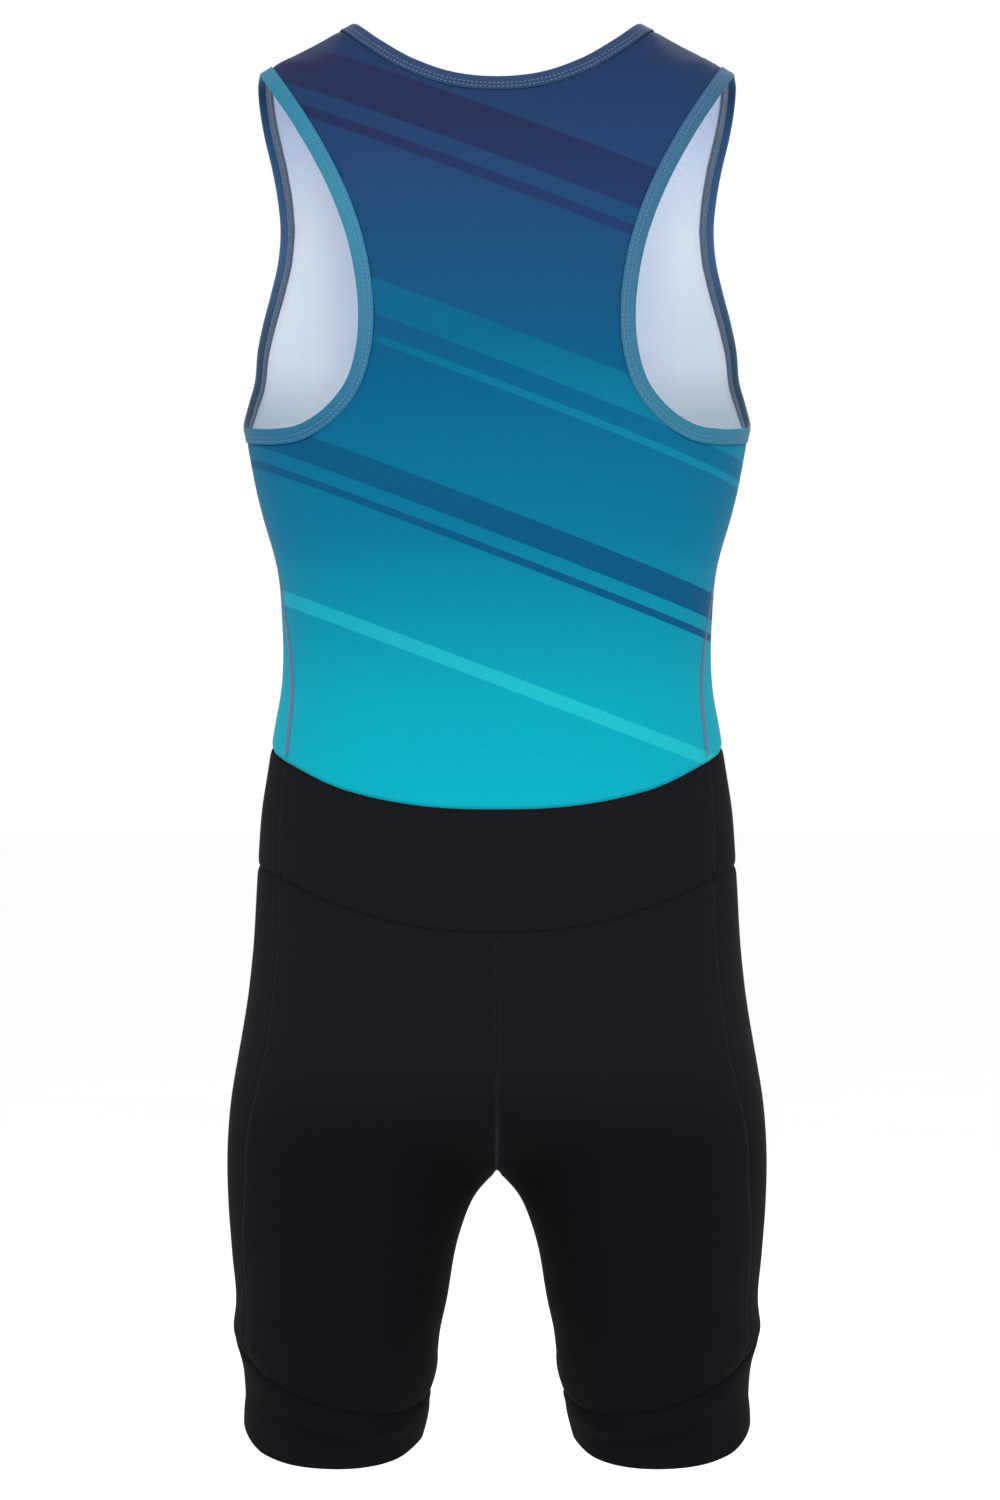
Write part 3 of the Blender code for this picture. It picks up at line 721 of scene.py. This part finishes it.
def beside_line(flat, line):
    """Each point's distance from a line of several straight parts, and its share of the way along."""
    corners = np.array(line, dtype=float)
    before = travel(corners)
    best, share = np.full(len(flat), np.inf), np.zeros(len(flat))
    for start, run, done in zip(corners, np.diff(corners, axis=0), before):
        own = np.linalg.norm(run)
        along = np.clip((flat - start) @ run / own**2, 0, 1)
        gap = np.linalg.norm(flat - start - along[:, None] * run, axis=1)
        nearer = gap < best
        best = np.where(nearer, gap, best)
        share = np.where(nearer, (done + along * own) / before[-1], share)
    return best, share


def press_creases(piece, creases):
    """Move a sheet's points along their normals into soft troughs and ridges."""
    points, facing = places(piece.data), facings(piece.data)
    shift = np.zeros(len(points))
    for line, half_width, depth, side in creases:
        gap, share = beside_line(points[:, [0, 2]] / MM, line)
        gap /= half_width
        across = (1 - CREASE_BANKS * gap**2) * np.exp(-(gap**2))
        along = np.sin(math.pi * share) ** CREASE_FADE
        shift += np.where(points[:, 1] * side >= 0, across * along * depth, 0)
    set_places(piece.data, points + facing * (shift * MM)[:, None])


sheets = {}


def remember(piece, node):
    """Keep a sheet's form for the seams that are sewn later."""
    mesh = piece.data
    sheets[node] = SimpleNamespace(
        points=places(mesh), normals=facings(mesh), rims=rim_loops(piece), tree=form_tree([mesh])
    )


def knit_piece(node, slot, outside, inside):
    """One knitted piece, from its solid's outer face to a finished shell."""
    piece = outer_sheet(node, node + "_cloth")
    flat, area = lay_flat(piece)
    smooth_through(piece)
    others = [other for other in frame["nodes"] if other != node]
    neighbours = solids_tree(others)
    round_hem(piece, neighbours)
    close_seams(piece, neighbours, solids_tree([other for other in others if "binding" not in other]))
    press_creases(piece, CREASES.get(node, ()))
    remember(piece, node)
    for material in (outside, inside):
        piece.data.materials.append(material)
    give_wall(piece, bpy.context.scene.suit_sizes.wall)
    finish_piece(piece, [node])


# Tapes


def around(values, where):
    """Read a closed run of values at fractional steps, as a smooth curve through them."""
    count = len(values)
    step = np.floor(where).astype(int)
    t = (where - step)[:, None]
    p0, p1, p2, p3 = (values[(step + shift) % count] for shift in (-1, 0, 1, 2))
    return 0.5 * (
        2 * p1
        + (p2 - p0) * t
        + (2 * p0 - 5 * p1 + 4 * p2 - p3) * t**2
        + (3 * p1 - p0 - 3 * p2 + p3) * t**3
    )


def edge_strip(node):
    """The open edge of a binding's solid: matched runs of points and normals on both its edges."""
    piece = outer_sheet(node, node + "_strip")
    points, normals = places(piece.data), facings(piece.data)
    cloth = solids_tree(["back_panel", "front_panel"])
    loops = sorted(rim_loops(piece), key=lambda loop: -gap_to(cloth, points[loop[0]]))
    near_edge, sewn = loops[0], set(loops[1])
    across = {}
    for edge in piece.data.edges:
        ends = set(edge.vertices)
        if len(ends & sewn) == 1:
            (far,) = ends & sewn
            (near,) = ends - sewn
            across[near] = far
    far_edge = [across[number] for number in near_edge]
    bpy.data.objects.remove(piece)
    fine = np.linspace(0, len(near_edge), EDGE_STEPS * len(near_edge) + 1)
    travelled = travel(around(points[near_edge], fine))
    return SimpleNamespace(
        near=points[near_edge],
        far=points[far_edge],
        near_normal=normals[near_edge],
        far_normal=normals[far_edge],
        fine=fine,
        travelled=travelled,
        length=travelled[-1],
    )


def strip_points(strip, along, across, out):
    """Points on a strip, by distance along it, across it from the open edge, and out from it."""
    where = np.interp(np.asarray(along) % strip.length, strip.travelled, strip.fine)
    near, far = around(strip.near, where), around(strip.far, where)
    share = across / TAPE_WIDTH
    normal = unit(around(strip.near_normal, where) * (1 - share) + around(strip.far_normal, where) * share)
    return near + (far - near) * share + normal * (out * MM), normal


def folded_tape(node, material):
    """A tape folded over an open edge, in one closed run."""
    strip = edge_strip(node)
    along, step = even_steps(strip.length, TAPE_STEP)
    rows = [strip_points(strip, along, across, out)[0] for across, out in TAPE_SECTION]
    reach = travel(np.array(TAPE_SECTION) * MM)
    faces, flats = [], []
    for row, column in product(range(len(rows) - 1), range(len(along))):
        corners = ((row, column), (row + 1, column), (row + 1, column + 1), (row, column + 1))
        faces.append([level * len(along) + place % len(along) for level, place in corners])
        flats += [(place * step, reach[level]) for level, place in corners]
    piece = mesh_piece(node.replace("binding", "tape"), np.concatenate(rows), faces)
    layer = piece.data.uv_layers.new(name=FLAT)
    layer.uv.foreach_set("vector", np.array(flats, dtype=np.float32).ravel())
    piece.data.materials.append(material)
    give_wall(piece, bpy.context.scene.suit_sizes.tape_wall)
    finish_piece(piece, [node])
    return strip


# Threads


def thread_faces():
    """The faces of a length of thread, whose points stand in rings: two caps and the sides."""
    last = (len(THREAD_SECTION) - 1) * THREAD_SIDES
    faces = [list(range(THREAD_SIDES)), [last + corner for corner in reversed(range(THREAD_SIDES))]]
    for ring, corner in product(range(len(THREAD_SECTION) - 1), range(THREAD_SIDES)):
        low, high = ring * THREAD_SIDES, (ring + 1) * THREAD_SIDES
        following = (corner + 1) % THREAD_SIDES
        faces.append([low + following, low + corner, high + corner, high + following])
    return np.array(faces)


def threads(starts, ends, ups, radius, rise):
    """Points and faces of short lengths of thread, arched by rise and thinner at the tips."""
    run = ends - starts
    along = unit(run)
    side = unit(np.cross(along, ups))
    up = np.cross(side, along)
    rings = []
    for share, thickness, height in THREAD_SECTION:
        centre = starts + run * share + up * (rise * height * MM)
        for corner in range(THREAD_SIDES):
            turn = 2 * math.pi * (corner + 0.5) / THREAD_SIDES
            spoke = side * math.cos(turn) + up * math.sin(turn)
            rings.append(centre + spoke * (radius * thickness * MM))
    points = np.stack(rings, axis=1)
    faces = thread_faces()[None] + (np.arange(len(starts)) * points.shape[1])[:, None, None]
    return points.reshape(-1, 3), faces.reshape(-1, 4)


def thread_piece(name, parts, material):
    """One mesh of all the threads in parts, which are pairs of points and faces."""
    points, faces, count = [], [], 0
    for own_points, own_faces in parts:
        points.append(own_points)
        faces.append(own_faces + count)
        count += len(own_points)
    piece = mesh_piece(name, np.concatenate(points), np.concatenate(faces))
    piece.data.materials.append(material)
    finish_piece(piece)


def tape_stitches(strip):
    """Two rows of stitches along a tape's outer leg."""
    along, _ = even_steps(strip.length, STITCH_PITCH)
    parts = []
    for across in STITCH_ROWS:
        starts, normal = strip_points(strip, along, across, STITCH_OUT)
        ends, _ = strip_points(strip, along + STITCH_LENGTH * MM, across, STITCH_OUT)
        parts.append(threads(starts, ends, normal, STITCH_RADIUS, STITCH_RISE))
    return parts


def looper_ladder(strip):
    """The looper threads between the two rows, on a tape's inner leg."""
    along, step = even_steps(strip.length, LADDER_PITCH)
    _, normal = strip_points(strip, along, LADDER_NEAR, LADDER_OUT)
    parts = []
    for start_across, start, end_across, end, radius, rise in LADDER_THREADS:
        starts, _ = strip_points(strip, along + start * step, start_across, LADDER_OUT)
        ends, _ = strip_points(strip, along + end * step, end_across, LADDER_OUT)
        parts.append(threads(starts, ends, -normal, radius, rise))
    return parts


def sewn_stretches(own, other):
    """The stretches of a sheet's rims that lie along another sheet, as runs of point numbers."""
    stretches = []
    for rim in own.rims:
        near = {number for number in rim if gap_to(other.tree, own.points[number]) < SEAM_REACH}
        if not near or len(near) == len(rim):
            continue
        start = next(i for i in range(len(rim)) if rim[i] in near and rim[i - 1] not in near)
        for sewn, group in groupby(rim[start:] + rim[:start], lambda number: number in near):
            run = list(group)
            if sewn and len(run) > LEAST_POINTS:
                stretches.append(run)
    return stretches


def seam_runs(first, second):
    """The seams of one sheet with another: points, normals and the way into the first sheet."""
    own, other = sheets[first], sheets[second]
    found = []
    for run in sewn_stretches(own, other):
        points = own.points[run]
        gaps = np.linalg.norm(points[:, None] - points[[0, -1]], axis=2).min(axis=1)
        kept = np.array(run)[gaps > SEAM_END * MM]
        if len(kept) < LEAST_POINTS:
            continue
        points = own.points[kept]
        facing = np.array([other.tree.find_nearest(Vector(point))[1] for point in points])
        normals = unit(unit(own.normals[kept]) + facing)
        inward = unit(np.cross(normals, unit(np.gradient(points, axis=0))))
        found.append(
            SimpleNamespace(points=points, normals=normals, inward=inward, travelled=travel(points))
        )
    return found


def run_points(run, along, across, out):
    """Points beside a seam: along it, across it into the first sheet, and out from its valley."""

    def read(values):
        return np.stack([np.interp(along, run.travelled, values[:, axis]) for axis in range(3)], axis=1)

    normal, inward = unit(read(run.normals)), unit(read(run.inward))
    lift = out + SEAM_SINK * (1 - math.exp(-((across / SINK_REACH) ** 2)))
    return read(run.points) + inward * (across * MM) + normal * (lift * MM), normal


def flatlock(run, half, pitch, radius, out):
    """A flat seam's threads, outside the cloth or, where out is below 0, inside it."""
    along, step = even_steps(run.travelled[-1], pitch)
    face = math.copysign(1, out)
    parts = []
    for start_side, start, end_side, end, thickness, rise in FLATLOCK_THREADS:
        starts, normal = run_points(run, along + start * step, start_side * half, out)
        ends, _ = run_points(run, along + end * step, end_side * half, out)
        parts.append(threads(starts, ends, normal * face, radius * thickness, rise))
    return parts


# Materials


def add_node(tree, kind, settings=None, links=None):
    """Add a node. A lower-case setting is a property, any other the value of an input.

    A link is another node's output, or a plain colour that stands in for one.
    """
    node = tree.nodes.new(kind)
    for name, value in (settings or {}).items():
        if isinstance(name, str) and name.islower():
            setattr(node, name, value)
        else:
            node.inputs[name].default_value = value
    for name, source in (links or {}).items():
        if isinstance(source, bpy.types.NodeSocket):
            tree.links.new(source, node.inputs[name])
        else:
            node.inputs[name].default_value = source
    return node


def start_material(name):
    material = bpy.data.materials.new(name)
    material.use_nodes = True
    material.node_tree.nodes.clear()
    return material, material.node_tree


def object_axes(tree):
    """The X, Y and Z of each place on the suit."""
    place = add_node(tree, "ShaderNodeTexCoord").outputs["Object"]
    return add_node(tree, "ShaderNodeSeparateXYZ", links={0: place}).outputs


def colour_by_height(tree, stops, height):
    """A colour that changes with the height of a place, through stops of millimetres and hex."""
    stops = sorted(stops)
    low, high = stops[0][0], stops[-1][0]
    reach = {"From Min": low * MM, "From Max": high * MM}
    share = add_node(tree, "ShaderNodeMapRange", reach, {"Value": height}).outputs["Result"]
    ramp = add_node(tree, "ShaderNodeValToRGB", links={"Fac": share})
    elements = ramp.color_ramp.elements
    while len(elements) < len(stops):
        elements.new(0.5)
    for element, (at, code) in zip(elements, stops):
        element.position = (at - low) / (high - low)
        element.color = linear(code)
    return ramp.outputs["Color"]


def two_tones(tree, across, stretch, first, second, height):
    """A colour that changes with height, and from one table to another over a stretch across."""
    low, high = stretch
    reach = {"From Min": low * MM, "From Max": high * MM}
    layers = {
        0: add_node(tree, "ShaderNodeMapRange", reach, {"Value": across}).outputs["Result"],
        6: colour_by_height(tree, first, height),
        7: colour_by_height(tree, second, height),
    }
    return add_node(tree, "ShaderNodeMix", {"data_type": "RGBA"}, layers).outputs[2]


def varying(tree, place, noise, shares):
    """A patchy pattern over a surface, and the same one as a share between two values."""
    low, high = shares
    patches = add_node(tree, "ShaderNodeTexNoise", noise, {"Vector": place}).outputs["Fac"]
    share = add_node(tree, "ShaderNodeMapRange", {"To Min": low, "To Max": high}, {"Value": patches})
    return patches, share.outputs["Result"]


def painted_shade_by_height(tree, painted_shade_fade):
    """Painted shade: a share that falls from 1 at a height to what is left at a lower one."""
    high, low, left = painted_shade_fade
    settings = {
        "interpolation_type": "SMOOTHSTEP",
        "From Min": low * MM,
        "From Max": high * MM,
        "To Min": left,
    }
    height = object_axes(tree)["Z"]
    return add_node(tree, "ShaderNodeMapRange", settings, {"Value": height}).outputs["Result"]


def knit_relief(tree, flat, strength):
    """Loops of the knit: upright wales crossed by courses.

    The real loops are about 0.5 mm wide, too fine to show, so they are drawn coarser.
    """
    sizes = bpy.context.scene.suit_sizes
    wales, courses = (
        add_node(
            tree,
            "ShaderNodeTexWave",
            {"bands_direction": way, "Scale": WAVE_BAND / size, "Distortion": 0.6, "Detail": 1.0},
            {"Vector": flat},
        ).outputs["Fac"]
        for way, size in (("X", sizes.wale), ("Y", sizes.course))
    )
    loops = add_node(tree, "ShaderNodeMath", {"operation": "MULTIPLY"}, {0: wales, 1: courses})
    relief = {"Strength": strength, "Distance": LOOP_DEPTH * MM}
    return add_node(tree, "ShaderNodeBump", relief, {"Height": loops.outputs["Value"]}).outputs["Normal"]


def textile_surface(tree, shade, normal, roughness, sheen, specular):
    """End a material's tree as cloth or thread."""
    shader = add_node(
        tree,
        "ShaderNodeBsdfPrincipled",
        {
            "Roughness": roughness,
            "Sheen Weight": sheen,
            "Sheen Roughness": SHEEN_ROUGHNESS,
            "Specular IOR Level": specular,
        },
        {"Base Color": shade, "Normal": normal},
    )
    add_node(tree, "ShaderNodeOutputMaterial", links={"Surface": shader.outputs["BSDF"]})


def knit_surface(tree, shade, finish, painted_shade_fade=None):
    """End a material's tree as a knit, whose colour varies faintly from loop to loop."""
    mottle, relief, roughness, sheen, specular = FINISHES[finish]
    flat = add_node(tree, "ShaderNodeUVMap", {"uv_map": FLAT}).outputs["UV"]
    patch = MOTTLE_WALES * bpy.context.scene.suit_sizes.wale
    noise = {"Scale": 1 / patch, "Detail": 2.0, "Roughness": 0.7}
    _, share = varying(tree, flat, noise, (1 - mottle, 1 + mottle))
    # Where given, painted shade darkens the colour below a height.
    if painted_shade_fade:
        both = {0: share, 1: painted_shade_by_height(tree, painted_shade_fade)}
        share = add_node(tree, "ShaderNodeMath", {"operation": "MULTIPLY"}, both).outputs["Value"]
    shown = add_node(tree, "ShaderNodeVectorMath", {"operation": "SCALE"}, {0: shade, "Scale": share})
    normal = knit_relief(tree, flat, relief)
    textile_surface(tree, shown.outputs["Vector"], normal, roughness, sheen, specular)


def stripe_share(tree, tilted, at, width):
    """1 inside a stripe and 0 outside it, with a soft edge."""
    offset = add_node(tree, "ShaderNodeMath", {"operation": "SUBTRACT", 1: at * MM}, {0: tilted})
    gap = add_node(tree, "ShaderNodeMath", {"operation": "ABSOLUTE"}, {0: offset.outputs["Value"]})
    edges = {
        "From Min": (width / 2 + STRIPE_SOFT) * MM,
        "From Max": (width / 2 - STRIPE_SOFT) * MM,
    }
    return add_node(tree, "ShaderNodeMapRange", edges, {"Value": gap.outputs["Value"]}).outputs["Result"]


def printed_knit():
    """Sublimation-printed polyester and elastane warp knit.

    The dye sits in the fibres, so the eye gets even, matt colours, crisp stripes and hardly
    any shine.
    """
    material, tree = start_material("sublimation printed polyester knit")
    axes = object_axes(tree)
    tilted = add_node(
        tree,
        "ShaderNodeMath",
        {"operation": "MULTIPLY_ADD", 1: STRIPE_FALL},
        {0: axes["X"], 2: axes["Z"]},
    ).outputs["Value"]
    tones = {
        "deep": colour_by_height(tree, DEEP_BANDS, axes["Z"]),
        "pale": colour_by_height(tree, PALE_BANDS, axes["Z"]),
    }
    shown = colour_by_height(tree, OMBRE, axes["Z"])
    for at, width, tone in STRIPES:
        layers = {0: stripe_share(tree, tilted, at, width), 6: shown, 7: tones[tone]}
        shown = add_node(tree, "ShaderNodeMix", {"data_type": "RGBA"}, layers).outputs[2]
    knit_surface(tree, shown, "printed")
    return material


def inside_knit():
    """The print's unprinted inside: white and matt, with painted shade that makes it bluer and darker
    deeper in and at the shoulders.
    """
    material, tree = start_material("unprinted white knit")
    axes = object_axes(tree)
    aside = add_node(tree, "ShaderNodeMath", {"operation": "ABSOLUTE"}, {0: axes["X"]}).outputs["Value"]
    knit_surface(tree, two_tones(tree, aside, INSIDE_PAINTED_SHADE_ACROSS, INSIDE_DEEP_PAINTED_SHADE, INSIDE_EDGE_PAINTED_SHADE, axes["Z"]), "inside")
    return material


def dyed_knit(name, shade, finish, painted_shade_fade=None):
    """Knit dyed in one colour: a flat tone to the eye, shaped by its folds, its loops and any painted
    shade.

    The black one is close to black and dull, with painted shade that darkens it on the thighs. The navy
    tape is pulled smooth and shines a little.
    """
    material, tree = start_material(name)
    knit_surface(tree, shade[:3], finish, painted_shade_fade)
    return material


def printed_tape_knit(name, back, front):
    """Printed knit tape, whose back half and front half are cut from different parts of the print, with
    painted shade at the front half's armpit end.

    It is pulled smooth over the edge, so it shines a little more than the panels.
    """
    material, tree = start_material(name)
    axes = object_axes(tree)
    shown = two_tones(tree, axes["Y"], TAPE_MEETS, back, front, axes["Z"])
    knit_surface(tree, shown, "armhole tape")
    return material


def thread_yarn(name, shade):
    """Textured polyester sewing thread: soft and flecked, with a slight lustre."""
    material, tree = start_material(name)
    place = add_node(tree, "ShaderNodeTexCoord").outputs["Object"]
    flecks, share = varying(tree, place, {"Scale": 1.0 / (FLECK_SIZE * MM)}, FLECK_SHARES)
    parts = {0: shade[:3], "Scale": share}
    shown = add_node(tree, "ShaderNodeVectorMath", {"operation": "SCALE"}, parts).outputs["Vector"]
    relief = {"Strength": FLECK_STRENGTH, "Distance": FLECK_DEPTH * MM}
    normal = add_node(tree, "ShaderNodeBump", relief, {"Height": flecks}).outputs["Normal"]
    textile_surface(tree, shown, normal, *THREAD_FINISH)
    return material


def floor_paint():
    """Matt white floor paint: nearly even and without a gleam, so the cloth's edges stand clear."""
    material, tree = start_material("matt white floor paint")
    place = add_node(tree, "ShaderNodeTexCoord").outputs["Object"]
    _, share = varying(tree, place, {"Scale": FLOOR_PATCHES}, FLOOR_SHARES)
    settings = {"Roughness": FLOOR_ROUGHNESS}
    shader = add_node(tree, "ShaderNodeBsdfPrincipled", settings, {"Base Color": share})
    add_node(tree, "ShaderNodeOutputMaterial", links={"Surface": shader.outputs["BSDF"]})
    return material


# Studio


def aim(thing, target):
    thing.rotation_euler = (Vector(target) - thing.location).to_track_quat("-Z", "Y").to_euler()


def lay_floor(drop):
    bpy.ops.object.select_all(action="DESELECT")
    bpy.ops.mesh.primitive_plane_add(size=FLOOR_SIDE, location=(0, 0, CAD_BOX[0][2] - drop))
    floor = bpy.context.object
    floor.name = "floor"
    bpy.ops.object.transform_apply(location=True, rotation=True, scale=True)
    floor.data.materials.append(floor_paint())


def light_studio(scene, studio):
    """Even white light from all round, and soft lamps that give the folds their shade."""
    world = bpy.data.worlds.new("even white light")
    scene.world = world
    world.use_nodes = True
    sky = world.node_tree.nodes["Background"]
    sky.inputs["Color"].default_value = (1, 1, 1, 1)
    sky.inputs["Strength"].default_value = studio.sky
    centre = [(low + high) / 2 for low, high in zip(*CAD_BOX)]
    for name, (place, side, share) in LAMPS.items():
        lamp = bpy.data.lights.new(name, "AREA")
        lamp.size = side
        lamp.energy = studio.key * share
        light = bpy.data.objects.new(name, lamp)
        scene.collection.objects.link(light)
        light.location = place
        aim(light, centre)


def place_camera(scene, studio):
    lens = bpy.data.cameras.new("camera")
    lens.lens = lens.sensor_width * studio.distance / studio.view
    camera = bpy.data.objects.new("camera", lens)
    scene.collection.objects.link(camera)
    camera.location = (studio.aside, -studio.distance, studio.eye)
    aim(camera, (studio.aside, 0, studio.eye))
    scene.camera = camera
    scene.view_settings.view_transform = "Standard"


# Operators


class SUIT_OT_knit(bpy.types.Operator):
    """Lay the knitted panels, the waist, the shorts and the leg bands on their solids"""

    bl_idname = "suit.knit"
    bl_label = "Knitted pieces"

    def execute(self, context):
        printed, inside = printed_knit(), inside_knit()
        # The black knit gets painted shade that darkens it on the thighs.
        black = dyed_knit("black stretch knit", context.scene.suit_colours.black, "black", THIGH_PAINTED_SHADE)
        cloths = {"printed": (printed, inside), "black": (black, black)}
        for node, cloth, slot in PIECES:
            knit_piece(node, slot, *cloths[cloth])
        return {"FINISHED"}


class SUIT_OT_tapes(bpy.types.Operator):
    """Fold the tapes over the neck and the armholes and sew them down"""

    bl_idname = "suit.tapes"
    bl_label = "Folded tapes"

    def execute(self, context):
        colours = context.scene.suit_colours
        neck = dyed_knit("navy binding knit", colours.neck, "neck tape")
        light = thread_yarn("pale polyester thread", colours.tape_thread)
        grey = thread_yarn("grey looper thread", colours.edge_thread)
        rows = [("neck_binding", "neck_tape", neck)]
        for node, back in TAPE_BACKS.items():
            name = node.replace("armhole_binding_", "") + " printed binding knit"
            rows.append((node, "armhole_tape", printed_tape_knit(name, back, TAPE_FRONT_PRINT_AND_SHADE)))
        for node, slot, material in rows:
            strip = folded_tape(node, material)
            thread_piece(node.replace("binding", "stitches"), tape_stitches(strip), light)
            thread_piece(node.replace("binding", "ladder"), looper_ladder(strip), grey)
        return {"FINISHED"}


class SUIT_OT_seams(bpy.types.Operator):
    """Sew the flat seams at the sides, the centre back and front, and the inside legs"""

    bl_idname = "suit.seams"
    bl_label = "Flat seams"

    def execute(self, context):
        if not sheets:
            raise RuntimeError("the knitted pieces come first")
        colours = context.scene.suit_colours
        side = thread_yarn("grey flatlock thread", colours.side_thread)
        inner = thread_yarn("grey flatlock looper thread", colours.edge_thread)
        dark = thread_yarn("black flatlock thread", colours.dark_thread)
        side_parts, inner_parts, dark_parts = [], [], []
        for run in seam_runs("back_panel", "front_panel"):
            if run.points[:, 2].min() < ARMPITS * MM:
                side_parts += flatlock(run, *SIDE_OUTSIDE)
                inner_parts += flatlock(run, *SIDE_INSIDE)
        for first, second in SHORTS_SEAMS:
            for run in seam_runs(first, second):
                dark_parts += flatlock(run, *SHORTS_OUTSIDE)
        thread_piece("side_seam_threads", side_parts, side)
        thread_piece("side_seam_loopers", inner_parts, inner)
        thread_piece("shorts_seam_threads", dark_parts, dark)
        return {"FINISHED"}


class SUIT_OT_stage(bpy.types.Operator):
    """Set up the floor, the soft lights and the camera"""

    bl_idname = "suit.stage"
    bl_label = "Studio"

    def execute(self, context):
        studio = context.scene.suit_studio
        lay_floor(studio.drop)
        light_studio(context.scene, studio)
        place_camera(context.scene, studio)
        return {"FINISHED"}


class SUIT_PT_panel(bpy.types.Panel):
    """Lists the steps that finish the suit"""

    bl_label = "Rowing Suit"
    bl_idname = "SUIT_PT_panel"
    bl_space_type = "VIEW_3D"
    bl_region_type = "UI"
    bl_category = "Rowing Suit"

    def draw(self, context):
        for operator in STEPS:
            self.layout.operator(operator.bl_idname)
        for name in SETTINGS:
            group = getattr(context.scene, name)
            box = self.layout.box()
            for setting in group.__annotations__:
                box.prop(group, setting)


STEPS = (SUIT_OT_knit, SUIT_OT_tapes, SUIT_OT_seams, SUIT_OT_stage)
SETTINGS = {"suit_colours": SuitColours, "suit_sizes": SuitSizes, "suit_studio": SuitStudio}


def register():
    for kind in (*SETTINGS.values(), *STEPS, SUIT_PT_panel):
        bpy.utils.register_class(kind)
    for name, kind in SETTINGS.items():
        setattr(bpy.types.Scene, name, PointerProperty(type=kind))


def unregister():
    for name in SETTINGS:
        delattr(bpy.types.Scene, name)
    for kind in reversed((*SETTINGS.values(), *STEPS, SUIT_PT_panel)):
        bpy.utils.unregister_class(kind)


def main():
    register()
    bpy.ops.suit.knit()
    bpy.ops.suit.tapes()
    bpy.ops.suit.seams()
    bpy.ops.suit.stage()


if __name__ == "__main__":
    main()
